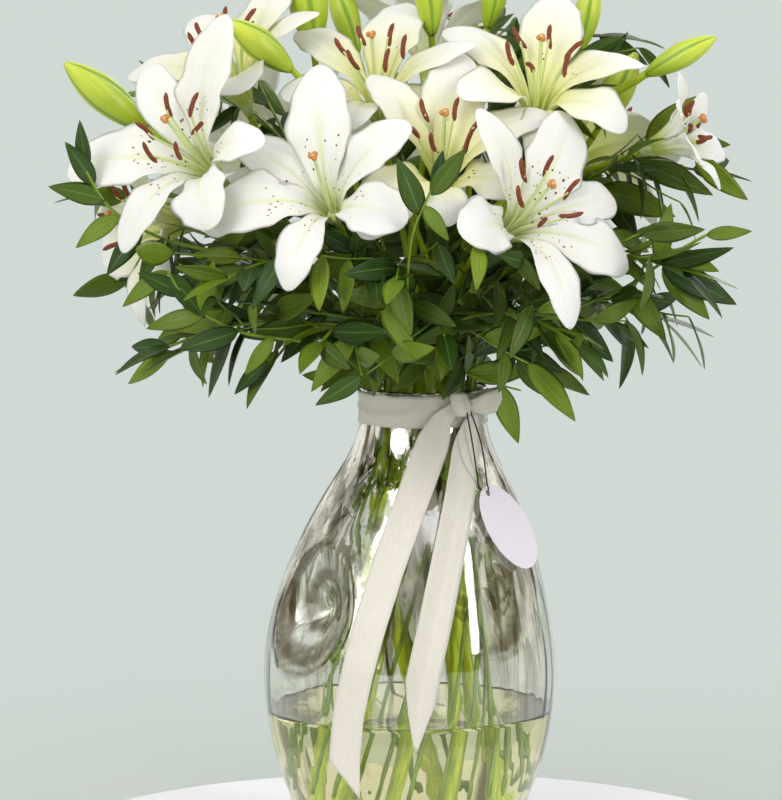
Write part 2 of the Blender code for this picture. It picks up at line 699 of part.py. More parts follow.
def stem_radii(line, main):
    low, high = STEM_RADII if main else PEDICEL_RADII
    return [low + (high - low) * k / (len(line) - 1) for k in range(len(line))]


def stem_shapes(azimuth, carried):
    lines = stem_lines(azimuth, carried)
    return [tube(line, stem_radii(line, k == 0), 6) for k, line in enumerate(lines)]


def socket(line, radii, sides):
    """The room that a stem takes in the water."""
    start = line[0] - (line[1] - line[0]).normalized() * 0.001
    return tube([start] + line[1:], [r + GAP for r in radii], sides)


# ---- ruscus ----
def branch_lines(azimuth, end):
    """The branch's line in the vase, then ever more changed lines from the neck to its tip."""
    heights = [FERN_Z + (NECK_Z - FERN_Z) * k / 3 for k in range(4)]
    low = [in_vase(azimuth, z, FERN_FOOT, FERN_NECK) for z in heights]
    start = low[-1]
    for rise in (0, 0.02, -0.02, 0.04):
        for turn in (0, -6, 6, -12, 12, -18, 18, -26, 26):
            for arch in (0, 0.025, -0.02):
                toward, distance, height = end[0] + turn, end[1], end[2] + rise
                tip = heading(toward) * distance + Vector((0, 0, height))
                up = Vector((0, 0, 0.05 + max(0, height - 0.40) * 0.35 + arch / 2))
                back = heading(toward) * (distance * 0.45) - Vector((0, 0, 0.035 + arch))
                yield low + bezier(start, start + up, tip - back, tip, 8)[1:]


def fitted_branch(room, azimuth, end):
    for line in branch_lines(azimuth, end):
        if room.free(tube(line, STALK_RADIUS, 3)):
            return line
    print("no room for branch", azimuth)
    return line


def twig_lines(line, chance):
    """Side twigs: pairs that leave the stalk left and right."""
    length = sum((b - a).length for a, b in zip(line, line[1:]))
    fine = resampled(line, 24)
    for k, part in enumerate(TWIG_PLACES):
        at = round(part * 23)
        way = (fine[at + 1] - fine[at - 1]).normalized()
        flat = Vector((way.y, -way.x, 0)).normalized() * (1 if k % 2 else -1)
        reach = min(TWIG_LENGTH, length * 0.4) * chance.uniform(0.8, 1.15)
        for lift in (0.15, -0.25, 0.5, -0.6, 0.9):
            for lean in (40, 58, 26):
                a = math.radians(lean)
                aim = (way * math.cos(a) + flat * math.sin(a) + Vector((0, 0, lift))).normalized()
                tip = fine[at] + aim * reach - Vector((0, 0, reach * 0.12))
                yield k, bezier(fine[at], fine[at] + aim * reach * 0.4,
                                tip - aim * reach * 0.3, tip, 4)


def leaf_shape(base, way, normal, length, width):
    """A pointed leaf as a thin four-faced solid, folded across above and along beneath."""
    side = way.cross(normal).normalized() * (width / 2)
    middle = base + way * (length * 0.45) + normal * LEAF_THICKNESS
    points = [base, middle - side, base + way * length, middle + side]
    return points, [(0, 1, 3), (1, 2, 3), (0, 2, 1), (0, 3, 2)]


def leaves_along(room, owner, line, first, chance):
    """The leaves on a stalk, (base, way, normal, length, width), each in a clear place."""
    length = sum((b - a).length for a, b in zip(line, line[1:]))
    count = max(2, int(length / LEAF_STEP))
    points = resampled(line, count + 1)
    ways = tangents(points)
    found = []
    for k in range(first, count + 1):
        p, way = points[k], ways[k]
        if k == count:
            p = p - way * 0.004
        lift = Vector((0, 0, 1)) - way * way.z
        lift = lift.normalized() if lift.length > 0.2 else way.orthogonal().normalized()
        flat = way.cross(lift).normalized()
        sign = 1 if k % 2 else -1
        size = LEAF_LENGTH * chance.uniform(0.85, 1.12)
        lean = math.radians(chance.uniform(38, 58)) if k < count else 0
        for turn, share in LEAF_TRIES:
            t = math.radians(turn + chance.uniform(-8, 8))
            side = (flat * math.cos(t) + lift * math.sin(t)) * sign
            facing = (lift * math.cos(t) - flat * math.sin(t)).normalized()
            aim = (way * math.cos(lean) + side * math.sin(lean)).normalized()
            facing = (facing - aim * facing.dot(aim)).normalized()
            leaf = (p, aim, facing, size * share, LEAF_WIDTH * size * share / LEAF_LENGTH)
            if room.free(leaf_shape(*leaf), owner):
                found.append(leaf)
                room.add(leaf_shape(*leaf), owner)
                room.add(leaf_shape(p + aim * 0.004, *leaf[1:]))
                break
    return found


def make_branch(room, name, line, seed, finish):
    """A stalk with its leaves and side twigs, as one solid."""
    chance = random.Random(seed)
    bare = IN_VASE_POINTS - 1
    shapes = [tube(line, STALK_RADIUS, 3)]
    leaves = leaves_along(room, name, line[bare:], 1, chance)
    done = set()
    for k, twig in twig_lines(line[bare:], chance):
        stalk = tube(twig, TWIG_RADIUS, 3)
        if k not in done and room.free(stalk, name):
            done.add(k)
            room.add(stalk, name)
            shapes.append(stalk)
            leaves += leaves_along(room, name, twig, 1, chance)
    shapes += [leaf_shape(*leaf) for leaf in leaves]
    combined(name, shapes, finish)
    return len(leaves)


def main():
    for old in list(bpy.data.objects):
        bpy.data.objects.remove(old)
    make_vase()
    make_ribbon()
    make_tag()
    make_cord()

    green = material("stem", (0.35, 0.50, 0.06), 0.4)
    leaf_green = material("leaf", (0.05, 0.14, 0.02), 0.4)
    white = material("petal", (0.92, 0.90, 0.80), 0.45)
    bud_green = material("bud", (0.50, 0.62, 0.08), 0.4)

    room = Room()
    room.add(skin([vase_ring(z, -0.002) for z in VASE_RINGS], closed=False))
    out, right, knot = knot_axes()
    room.add(tube([knot - right * 0.012, knot + right * 0.040], 0.014, 6))
    sockets = []
    for name, (azimuth, carried) in STEMS.items():
        shapes = stem_shapes(azimuth, carried)
        if not all(room.free(s) for s in shapes):
            print("stem touches", name)
        for shape in shapes:
            room.add(shape)
        combined(name, shapes, green)
        main_line = stem_lines(azimuth, carried)[0]
        sockets.append(socket(main_line, stem_radii(main_line, True), 6))
    for name, bud in BUDS.items():
        shape = bud_shape(bud)
        room.add(shape)
        solid(name, shape, bud_green)
    lines = []
    for azimuth, end in BRANCHES:
        line = fitted_branch(room, azimuth, end)
        room.add(tube(line, STALK_RADIUS, 3), f"ruscus_branch_{len(lines) + 1:02d}")
        sockets.append(socket(line, [STALK_RADIUS] * len(line), 3))
        lines.append(line)
    make_water(sockets)
    for name, shapes in place_blooms(room).items():
        combined(name, shapes, white)
    total = 0
    for k, line in enumerate(lines):
        total += make_branch(room, f"ruscus_branch_{k + 1:02d}", line, k, leaf_green)
    print("leaves", total)


main()
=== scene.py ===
"""White lilies and ruscus in a pinched glass vase, with a satin ribbon and a card tag."""

import math
import random

import bpy
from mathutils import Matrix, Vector, noise
from mathutils.bvhtree import BVHTree


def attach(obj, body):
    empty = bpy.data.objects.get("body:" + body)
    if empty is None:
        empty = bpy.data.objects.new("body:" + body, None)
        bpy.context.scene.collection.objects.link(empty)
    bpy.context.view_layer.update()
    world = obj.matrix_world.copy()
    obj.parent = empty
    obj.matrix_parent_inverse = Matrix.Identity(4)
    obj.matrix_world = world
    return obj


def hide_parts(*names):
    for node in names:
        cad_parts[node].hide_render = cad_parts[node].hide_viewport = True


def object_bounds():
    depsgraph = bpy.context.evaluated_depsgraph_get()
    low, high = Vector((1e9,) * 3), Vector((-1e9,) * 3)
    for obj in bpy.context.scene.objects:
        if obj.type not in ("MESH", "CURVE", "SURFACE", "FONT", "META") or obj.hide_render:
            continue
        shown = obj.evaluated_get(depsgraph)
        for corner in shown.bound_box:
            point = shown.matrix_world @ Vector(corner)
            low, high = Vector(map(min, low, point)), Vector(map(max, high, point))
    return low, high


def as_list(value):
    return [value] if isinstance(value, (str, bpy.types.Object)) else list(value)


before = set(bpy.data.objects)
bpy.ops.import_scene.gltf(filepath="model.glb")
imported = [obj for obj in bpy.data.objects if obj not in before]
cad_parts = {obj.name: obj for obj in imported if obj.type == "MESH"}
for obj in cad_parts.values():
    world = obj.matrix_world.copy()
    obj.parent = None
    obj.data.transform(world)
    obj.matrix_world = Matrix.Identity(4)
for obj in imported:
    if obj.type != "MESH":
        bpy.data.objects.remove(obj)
cad_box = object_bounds()

# ---- driving dimensions, in metres and degrees; azimuth 0 is the front (-Y), 90 is +X ----
GAP = 0.0004  # what touching pieces keep between them
CLEAR = 0.0006  # the least room between the flowers and leaves

VASE_SIDES = 24
VASE_WALL = 0.003
VASE_FLOOR = 0.008
VASE_HEIGHT = 0.345
VASE_PROFILE = (  # height, outer radius
    (0.000, 0.068), (0.005, 0.076), (0.014, 0.083), (0.034, 0.0905), (0.064, 0.101),
    (0.094, 0.107), (0.124, 0.1098), (0.154, 0.108), (0.184, 0.102), (0.214, 0.093),
    (0.244, 0.0815), (0.274, 0.0665), (0.296, 0.0545), (0.315, 0.0485), (0.332, 0.047),
    (0.345, 0.0485),
)
BAND_HEIGHTS = (0.3185, 0.331, 0.3425)
VASE_RINGS = (0, 0.005, 0.018, 0.050, 0.102, 0.132, 0.158, 0.184, 0.210, 0.236,
              0.262, 0.288, *BAND_HEIGHTS, VASE_HEIGHT)
NECK_SHIFT = 0.010  # the mouth leans this far towards +X
DIMPLES = ((-50, 0.184), (145, 0.170))  # azimuth, height
DIMPLE_SIZE = (0.046, 0.052)  # half width round the wall, half height
DIMPLE_DEPTH = 0.030
PINCH_RADIUS = 0.1  # the wall's, about where the pinches are
WIDEST_Z = 0.124
WATER_LEVEL = 0.102

RIBBON_WIDTH = 0.025
RIBBON_THICKNESS = 0.0006
KNOT_AZIMUTH = 29
KNOT_HEIGHT = 0.337
KNOT_RADIUS, KNOT_RISE = 0.007, 0.011  # the knot is twice as high as its rise
TAIL_OFF = 0.0022  # the ribbon's tails lie this far off the glass
LONG_TAIL = ((0.023, 0.3255), (0.011, 0.292), (-0.003, 0.256), (-0.017, 0.218), (-0.029, 0.180),
             (-0.038, 0.146), (-0.045, 0.112), (-0.048, 0.080), (-0.048, 0.050))
SHORT_TAIL = ((0.0445, 0.3255), (0.040, 0.292), (0.034, 0.256), (0.026, 0.218), (0.018, 0.180),
              (0.010, 0.144), (0.005, 0.116), (0.002, 0.082))

TAG_PLACE = (53, 0.244)  # azimuth and height of the glass behind the tag's middle
TAG_OFF = 0.0032
TAG_FACING = (46, 22)  # azimuth and how far the face looks up
TAG_TILT = 23
TAG_THICKNESS = 0.0008
TAG_HOLE = (0.0022, 0.0295)  # radius, height above the centre
CORD_DIAMETER = 0.0012

FOOT_Z = 0.011  # the lowest end of a lily stem, in the water
SLOT_TWIST = 75  # how far the stems wind round between foot and neck
NECK_Z = 0.335
LILY_NECK, LILY_FOOT = 0.0245, 0.056  # how far from the axis the lily stems pass
LAST_STRAIGHT = 0.005  # a pedicel's straight end
STEM_RADII = (0.0048, 0.0027)  # at its foot and under its flower
PEDICEL_RADII = (0.0021, 0.0024)
FERN_NECK, FERN_FOOT = 0.0385, 0.074
FERN_Z = 0.045  # the lowest end of a ruscus stem

TEPAL_LENGTH = 0.112
INNER_WIDTH, OUTER_WIDTH = 0.049, 0.036
INNER_SHARE, OUTER_SHARE = 0.62, 0.42  # half widths near the throat, as shares of the distance from it
TEPAL_THICKNESS = 0.0014
HEART_RADIUS = 0.0042
LEAF_LENGTH, LEAF_WIDTH = 0.050, 0.016
LEAF_THICKNESS = 0.0012
LEAF_STEP = 0.0230
LEAF_TRIES = [(turn, share) for share in (1, 0.8, 0.65)
              for turn in (0, 25, -25, 50, -50, 80, -80, 115, -115, 150, -150)]
STALK_RADIUS, TWIG_RADIUS = 0.0017, 0.0012
BARE = 3  # the first points of a branch's line, which lie in the vase and bear no leaves
TWIG_PLACES = (0.38, 0.62)
TWIG_LENGTH = 0.085

STEP = 60  # between one tepal and the next
STAMEN_TURN = 24  # the first stamen's angle from the flower's top

# name: throat, facing, size, then the tepals' (azimuth, length, spread, curl), inner and outer in turn
BLOOMS = {
    "lily_bloom_01": ((0.066, -0.098, 0.466), (0.52, -0.72, 0.46), 1.00,
                      ((38, 1.10, 70, 40), (84, 1.00, 74, 45), (124, 0.98, 70, 30),
                       (180, 1.05, 70, 30), (262, 0.80, 62, 30), (-20, 1.00, 62, 30))),
    "lily_bloom_02": ((-0.055, -0.100, 0.480), (-0.22, -0.80, 0.56), 1.00,
                      ((-8, 1.10, 66, 20), (48, 0.95, 62, 40), (108, 0.80, 66, 40),
                       (190, 0.95, 70, 45), (252, 1.10, 74, 60), (300, 0.95, 70, 50))),
    "lily_bloom_03": ((-0.140, -0.085, 0.508), (-0.55, -0.66, 0.52), 1.00,
                      ((12, 1.18, 60, 15), (76, 0.80, 60, 60), (140, 0.85, 66, 50),
                       (198, 1.00, 72, 40), (254, 1.15, 70, 30), (-44, 1.05, 66, 40))),
    "lily_bloom_04": ((0.022, -0.080, 0.492), (0.05, -0.58, 0.81), 1.00,
                      ((12, 1.08, 60, 20), (64, 1.05, 70, 30), (124, 0.85, 72, 35),
                       (182, 0.75, 70, 30), (242, 1.02, 74, 35), (-28, 1.04, 60, 30))),
    "lily_bloom_05": ((0.092, -0.030, 0.540), (0.08, -0.50, 0.86), 1.00,
                      ((18, 1.05, 62, 20), (72, 1.00, 72, 40), (130, 0.90, 70, 60),
                       (185, 0.85, 72, 60), (245, 0.90, 70, 50), (-48, 1.00, 66, 30))),
    "lily_bloom_06": ((-0.022, -0.028, 0.545), (-0.12, -0.48, 0.87), 0.95,
                      ((14, 1.00, 62, 25), (70, 0.95, 64, 30), (130, 0.85, 66, 30),
                       (185, 0.80, 66, 30), (240, 0.85, 66, 30), (-50, 1.00, 64, 30))),
    "lily_bloom_07": ((-0.122, -0.010, 0.556), (-0.34, -0.36, 0.87), 0.95,
                      ((5, 1.00, 58, 20), (60, 0.95, 60, 30), (120, 0.85, 62, 30),
                       (180, 0.85, 62, 30), (240, 0.95, 64, 30), (-58, 0.95, 62, 30))),
    "lily_bloom_08": ((-0.158, -0.020, 0.470), (-0.90, -0.42, -0.02), 0.95,
                      ((0, 0.95, 52, 30), (60, 0.90, 50, 30), (120, 0.90, 54, 40),
                       (180, 0.95, 58, 50), (240, 0.90, 56, 30), (-58, 0.95, 56, 30))),
    "lily_bloom_09": ((0.178, -0.016, 0.524), (0.88, -0.28, 0.38), 0.62,
                      ((0, 0.95, 40, 30), (60, 0.95, 40, 20), (120, 0.95, 44, 25),
                       (180, 0.95, 46, 30), (240, 0.95, 42, 25), (-60, 0.95, 40, 30))),
    "lily_bloom_10": ((-0.100, 0.095, 0.500), (-0.52, 0.72, 0.46), 1.00,
                      tuple((10 + STEP * k, 1.0, 68, 35) for k in range(6))),
    "lily_bloom_11": ((0.004, 0.112, 0.475), (0.05, 0.84, 0.54), 1.00,
                      tuple((-14 + STEP * k, 1.0, 70, 40) for k in range(6))),
    "lily_bloom_12": ((0.112, 0.090, 0.502), (0.56, 0.68, 0.48), 1.00,
                      tuple((25 + STEP * k, 1.0, 68, 35) for k in range(6))),
    "lily_bloom_13": ((0.014, 0.076, 0.566), (0.03, 0.46, 0.88), 0.90,
                      tuple((5 + STEP * k, 0.95, 58, 25) for k in range(6))),
}

# name: base, tip, width
BUDS = {
    "lily_bud_01": ((-0.196, -0.030, 0.541), (-0.254, -0.050, 0.590), 0.026),
    "lily_bud_02": ((-0.088, -0.045, 0.585), (-0.132, -0.060, 0.622), 0.023),
    "lily_bud_03": ((0.177, 0.010, 0.578), (0.228, 0.000, 0.606), 0.019),
    "lily_bud_04": ((0.142, 0.040, 0.536), (0.170, 0.036, 0.592), 0.025),
    "lily_bud_05": ((0.126, 0.055, 0.590), (0.140, 0.060, 0.646), 0.020),
    "lily_bud_06": ((-0.072, 0.010, 0.598), (-0.080, 0.005, 0.672), 0.030),
    "lily_bud_07": ((0.016, -0.005, 0.608), (0.012, -0.010, 0.668), 0.021),
    "lily_bud_08": ((0.058, 0.020, 0.612), (0.072, 0.016, 0.674), 0.020),
    "lily_bud_09": ((-0.040, 0.070, 0.590), (-0.058, 0.090, 0.648), 0.021),
}

# slot azimuth at the neck, then what the stem carries: the first ends it, the rest fork off
STEMS = {
    "lily_stem_1": (-82, ("lily_bloom_03", "lily_bloom_08", "lily_bud_01")),
    "lily_stem_2": (-30, ("lily_bloom_02", "lily_bud_02")),
    "lily_stem_3": (10, ("lily_bloom_04", "lily_bloom_06", "lily_bud_07")),
    "lily_stem_4": (55, ("lily_bloom_01", "lily_bloom_05")),
    "lily_stem_5": (98, ("lily_bud_03", "lily_bloom_09", "lily_bud_04")),
    "lily_stem_6": (140, ("lily_bloom_12", "lily_bud_05", "lily_bud_08")),
    "lily_stem_7": (182, ("lily_bloom_11", "lily_bloom_13", "lily_bud_09")),
    "lily_stem_8": (-128, ("lily_bloom_10", "lily_bloom_07", "lily_bud_06")),
}

# azimuth at the neck, then where the branch ends: azimuth, distance from the axis, height
BRANCHES = (
    (-60, (-62, 0.200, 0.385)), (-22, (-26, 0.150, 0.392)), (20, (12, 0.120, 0.395)),
    (48, (44, 0.170, 0.392)), (84, (82, 0.190, 0.398)), (128, (130, 0.180, 0.405)),
    (176, (178, 0.170, 0.400)), (-134, (-132, 0.185, 0.405)), (-96, (-100, 0.215, 0.420)),
    (-78, (-84, 0.228, 0.490)), (-42, (-44, 0.190, 0.440)), (2, (-4, 0.140, 0.440)),
    (34, (30, 0.165, 0.452)), (66, (68, 0.215, 0.440)), (102, (98, 0.215, 0.505)),
    (148, (152, 0.200, 0.490)), (-160, (-158, 0.200, 0.500)), (-116, (-112, 0.200, 0.560)),
    (116, (112, 0.180, 0.600)), (-178, (150, 0.125, 0.605)),
)


# ---- small helpers ----
def heading(azimuth):
    """The level direction at that azimuth."""
    a = math.radians(azimuth)
    return Vector((math.sin(a), -math.cos(a), 0))


def turned(across, up, a):
    """The direction at angle a from across, towards up."""
    return across * math.cos(a) + up * math.sin(a)


def squared(facing, way):
    """The direction nearest to facing that is square to way."""
    return (facing - way * facing.dot(way)).normalized()


def length_of(points):
    return sum((b - a).length for a, b in zip(points, points[1:]))


def eased(x):
    x = min(1, max(0, x))
    return x * x * (3 - 2 * x)


def through(table, x):
    """A smooth curve through the table's points, read at x."""
    k = max(i for i in range(len(table) - 1) if i == 0 or table[i][0] <= x)
    slope = []
    for i in (k, k + 1):
        a, b = table[max(0, i - 1)], table[min(len(table) - 1, i + 1)]
        slope.append((b[1] - a[1]) / (b[0] - a[0]))
    (x0, y0), (x1, y1) = table[k], table[k + 1]
    t = min(1, max(0, (x - x0) / (x1 - x0)))
    span = x1 - x0
    return ((2 * t**3 - 3 * t**2 + 1) * y0 + (t**3 - 2 * t**2 + t) * span * slope[0]
            + (3 * t**2 - 2 * t**3) * y1 + (t**3 - t**2) * span * slope[1])


def bezier(a, b, c, d, count):
    """count points along a cubic, ends included."""
    points = []
    for i in range(count):
        t = i / (count - 1)
        u = 1 - t
        points.append(a * u**3 + b * 3 * u * u * t + c * 3 * u * t * t + d * t**3)
    return points


def resampled(points, count):
    """count points spread evenly along a line."""
    lengths = [0]
    for a, b in zip(points, points[1:]):
        lengths.append(lengths[-1] + (b - a).length)
    found, k = [], 0
    for i in range(count):
        at = lengths[-1] * i / (count - 1)
        while k < len(points) - 2 and lengths[k + 1] < at:
            k += 1
        part = (at - lengths[k]) / max(1e-9, lengths[k + 1] - lengths[k])
        found.append(points[k].lerp(points[k + 1], min(1, part)))
    return found


def tangents(points):
    ends = [points[0]] + list(points) + [points[-1]]
    return [(ends[i + 2] - ends[i]).normalized() for i in range(len(points))]


def skin(rings, closed=True):
    """Rings of equal count joined into a surface, each end filled."""
    n = len(rings[0])
    points = [p for ring in rings for p in ring]
    faces = []
    for k in range(len(rings) - 1):
        for i in range(n):
            j = (i + 1) % n
            faces.append((k * n + i, k * n + j, (k + 1) * n + j))
            faces.append((k * n + i, (k + 1) * n + j, (k + 1) * n + i))
    if closed:
        faces.append(tuple(reversed(range(n))))
        faces.append(tuple(range((len(rings) - 1) * n, len(rings) * n)))
    return points, faces


def tube(points, radii, sides):
    """A round bar along the points; radii is one number or one at each point."""
    if not hasattr(radii, "__len__"):
        radii = [radii] * len(points)
    ways = tangents(points)
    across = ways[0].orthogonal().normalized()
    rings = []
    for p, way, r in zip(points, ways, radii):
        across = squared(across, way)
        up = way.cross(across)
        rings.append([p + turned(across, up, 2 * math.pi * i / sides) * r for i in range(sides)])
    return skin(rings)


def spindle(base, tip, radius, sides, profile):
    """A turned shape from base to tip; profile gives (place, share of the radius)."""
    way = (tip - base).normalized()
    across = way.orthogonal().normalized()
    up = way.cross(across)
    around = [turned(across, up, 2 * math.pi * i / sides) for i in range(sides)]
    return skin([[base.lerp(tip, place) + aside * radius * share for aside in around]
                 for place, share in profile])


class Room:
    """Keeps the faces of the placed pieces, so that a new one can be tried against them."""

    def __init__(self):
        self.taken = []

    def tree(self, shape):
        points = [Vector(p) for p in shape[0]]
        middle = sum(points, Vector()) / len(points)
        reach = max((p - middle).length for p in points) + CLEAR
        return middle, reach, BVHTree.FromPolygons(points, shape[1], epsilon=CLEAR)

    def add(self, shape, owner=None):
        self.taken.append((owner, *self.tree(shape)))

    def free(self, shape, owner=None):
        """Whether the shape keeps clear of all but its owner's pieces."""
        middle, reach, tree = self.tree(shape)
        for other_owner, other_middle, other_reach, other in self.taken:
            if owner is not None and other_owner == owner:
                continue
            if (other_middle - middle).length < reach + other_reach and tree.overlap(other):
                return False
        return True

    def take(self, shape, owner=None):
        """Takes the shape's place if it is free, and says whether it was."""
        free = self.free(shape, owner)
        if free:
            self.add(shape, owner)
        return free


def vase_centre(z):
    return Vector((NECK_SHIFT * eased((z - 0.15) / 0.17), 0, z))


def pinch_places(azimuth, z):
    """For each pinch: how far from its middle, where 1 is its rim, and the angle about it."""
    for at, height in DIMPLES:
        aside = math.radians((azimuth - at + 180) % 360 - 180) * PINCH_RADIUS / DIMPLE_SIZE[0]
        rise = (z - height) / DIMPLE_SIZE[1]
        yield math.hypot(aside, rise), math.atan2(rise, aside)


def dent(azimuth, z):
    """How far the pinches push the wall in."""
    depth = 0
    for off, _ in pinch_places(azimuth, z):
        depth += DIMPLE_DEPTH * max(0, 1 - off) ** 1.5
    return depth


def vase_point(azimuth, z, inset=0.0):
    r = through(VASE_PROFILE, z) - inset - dent(azimuth, z)
    return vase_centre(z) + heading(azimuth) * r


def vase_ring(z, inset):
    turns = [DIMPLES[0][0] + 360 * i / VASE_SIDES for i in range(VASE_SIDES)]
    return [vase_point(a, z, inset) for a in turns]


def on_glass(x, z, off):
    """The point off the front of the vase at x; below its widest part it hangs straight down."""
    hang = max(z, WIDEST_Z)
    r = through(VASE_PROFILE, hang) + off
    centre = vase_centre(hang)
    return Vector((x, -math.sqrt(r * r - (x - centre.x) ** 2), z))


def knot_axes():
    """The knot's outward and right directions, and its middle."""
    out, right = heading(KNOT_AZIMUTH), heading(KNOT_AZIMUTH + 90)
    r = through(VASE_PROFILE, KNOT_HEIGHT) + RIBBON_THICKNESS + 2 * GAP + KNOT_RADIUS
    return out, right, vase_centre(KNOT_HEIGHT) + out * r


def tag_axes():
    """The tag's right, up and outward directions."""
    azimuth, lift = TAG_FACING
    lift, tilt = math.radians(lift), math.radians(TAG_TILT)
    level, side = heading(azimuth), heading(azimuth + 90)
    out = level * math.cos(lift) + Vector((0, 0, math.sin(lift)))
    up = out.cross(side)
    up = up if up.z > 0 else -up
    return side * math.cos(tilt) + up * math.sin(tilt), up * math.cos(tilt) - side * math.sin(tilt), out


def tag_centre():
    return vase_point(*TAG_PLACE) + tag_axes()[2] * TAG_OFF


def cord_route():
    """From the knot down through the tag's hole and back up to the knot."""
    side, up, out = tag_axes()
    hang = TAG_HOLE[1] + TAG_HOLE[0] - CORD_DIAMETER / 2 - 2 * GAP
    hole = tag_centre() + up * hang + out * (TAG_THICKNESS / 2)
    before, behind = out * 0.0030, out * -0.0030
    knot_out, knot_right, knot = knot_axes()
    start = knot + knot_right * 0.0058 + knot_out * 0.0044 - Vector((0, 0, 0.0040))
    end = knot + knot_right * 0.0025 + knot_out * 0.0064 - Vector((0, 0, 0.0060))
    above = hole + up * 0.0072 + side * 0.0012 + before * 1.3
    rear = hole + up * 0.0072 - side * 0.0010 + behind * 1.06

    def strand(a, b, aside, off):
        bows = [(t, math.sin(math.pi * t)) for t in (0.13, 0.32, 0.5, 0.7, 0.88)]
        return [a.lerp(b, t) + side * (aside * bow) + out * (off * bow) for t, bow in bows]

    return [
        start,
        *strand(start, above, 0.003, 0.001),
        above,
        hole + up * 0.0022 + before,
        hole,
        hole + up * 0.0022 + behind,
        rear,
        *strand(rear, end, -0.003, 0.003),
        end,
    ]


def smooth_route(points, per_span):
    """A smooth curve through the points."""
    found = []
    for k in range(len(points) - 1):
        a, b = points[max(0, k - 1)], points[min(len(points) - 1, k + 2)]
        p, q = points[k], points[k + 1]
        found += bezier(p, p + (q - a) / 6, q - (b - p) / 6, q, per_span + 1)[:-1]
    return found + [points[-1]]


def facing_axes(direction):
    """The flower's axis, and its up and right as seen from in front of it."""
    axis = Vector(direction).normalized()
    up = squared(Vector((0, 0, 1)), axis)
    return axis, up, up.cross(axis)


def tepal_line(bloom, tepal, count):
    """Along a tepal's midrib: its place along it, point, side and inner normal."""
    throat, direction, size = bloom[:3]
    azimuth, length, spread, curl = tepal
    axis, up, right = facing_axes(direction)
    radial = turned(up, right, math.radians(azimuth))
    side = axis.cross(radial)
    full = TEPAL_LENGTH * size * length
    p = Vector(throat) + radial * HEART_RADIUS
    fine, line = 48, []
    for i in range(fine + 1):
        s = i / fine
        turn = 14 + (spread - 14) * eased(s / 0.62) + curl * max(0, (s - 0.4) / 0.6) ** 1.6
        t = math.radians(turn)
        line.append((s, p.copy(), side, axis * math.sin(t) - radial * math.cos(t)))
        p += turned(axis, radial, t) * (full / fine)
    return [line[round(fine * k / (count - 1))] for k in range(count)]


def tepal_width(s):
    """The share of the full width at s along the tepal."""
    if s < 0.5:
        return 0.17 + 0.83 * math.sin(math.pi * s) ** 1.25
    return max(0, 1 - ((s - 0.5) / 0.5) ** 2.7)


def tepal_half(bloom, k, p, share):
    """The half width at p of tepal k, at that share of its full width; it is narrow near the throat."""
    width, limit = (INNER_WIDTH, INNER_SHARE) if k % 2 == 0 else (OUTER_WIDTH, OUTER_SHARE)
    out, axis = p - Vector(bloom[0]), Vector(bloom[1]).normalized()
    away = (out - axis * out.dot(axis)).length
    return max(0.0006, min(width * bloom[2] * share / 2, away * limit))


def tepal_shape(bloom, k, tepal):
    """A tepal as a thin three-sided solid with its keel outside."""
    rings = []
    for s, p, side, normal in tepal_line(bloom, tepal, 5):
        half = tepal_half(bloom, k, p, tepal_width(s))
        rise = normal * (half * 0.42 * (1 - eased(s / 0.8)))
        keel = normal * (-TEPAL_THICKNESS if s < 1 else -TEPAL_THICKNESS / 3)
        rings.append([p + rise + side * half, p + rise - side * half, p + keel])
    return skin(rings)


def stamen_lines(bloom):
    """Each stamen's outward direction, foot, middle, tip and the half length of its anther."""
    throat, direction, size = bloom[:3]
    axis, up, right = facing_axes(direction)
    for k in range(6):
        radial = turned(up, right, math.radians(STEP * k + STAMEN_TURN))
        base = Vector(throat) + radial * 0.003 + axis * 0.003
        tip = Vector(throat) + (axis * 0.060 + radial * 0.020 + up * 0.004) * size
        along = (axis * 0.5 + radial * 0.5 + up * 0.4).normalized() * (0.007 * size)
        yield radial, base, base.lerp(tip, 0.5) - radial * 0.003, tip, along


def pistil_line(bloom):
    """The pistil's foot, middle and tip."""
    throat, direction, size = bloom[:3]
    axis, up = facing_axes(direction)[:2]
    base = Vector(throat) + axis * 0.003
    tip = Vector(throat) + (axis * 0.072 + up * 0.010) * size
    return base, base.lerp(tip, 0.5) - up * 0.002, tip


def stamen_shapes(bloom):
    """Six filaments with their anthers, and the pistil."""
    axis = Vector(bloom[1]).normalized()
    shapes = [tube([base, mid, tip, tip + along * 2], (0.0009, 0.0007, 0.0017, 0.0008), 3)
              for _, base, mid, tip, along in stamen_lines(bloom)]
    base, mid, tip = pistil_line(bloom)
    line = [base, mid, tip, tip + axis * 0.003, tip + axis * 0.005]
    return shapes + [tube(line, (0.0016, 0.0012, 0.0014, 0.0035, 0.0022), 3)]


def receptacle(bloom):
    throat, direction = bloom[:2]
    axis = Vector(direction).normalized()
    base, top = Vector(throat) - axis * 0.008, Vector(throat) + axis * 0.007
    return spindle(base, top, HEART_RADIUS * 1.6, 6, ((0, 0.5), (1, 1)))


def tepal_choices(tepal):
    """The tepal as wanted, then ever larger changes to it."""
    azimuth, length, spread, curl = tepal
    for shorter in (1, 0.93, 0.86, 0.78, 0.7):
        for lean in (0, -6, 6, -12, 12, -18, 18, -24):
            for turn in (0, -7, 7, -14, 14):
                for bend in (0, 20, -20):
                    yield azimuth + turn, length * shorter, spread + lean, curl + bend


def fitted_tepals(room, name, bloom):
    """Each tepal in the nearest form that keeps clear of what is placed already."""
    found = []
    for k, tepal in enumerate(bloom[3]):
        for choice in tepal_choices(tepal):
            if room.free(tepal_shape(bloom, k, choice), name):
                break
        found.append(choice)
        room.add(tepal_shape(bloom, k, choice), name)
    return found


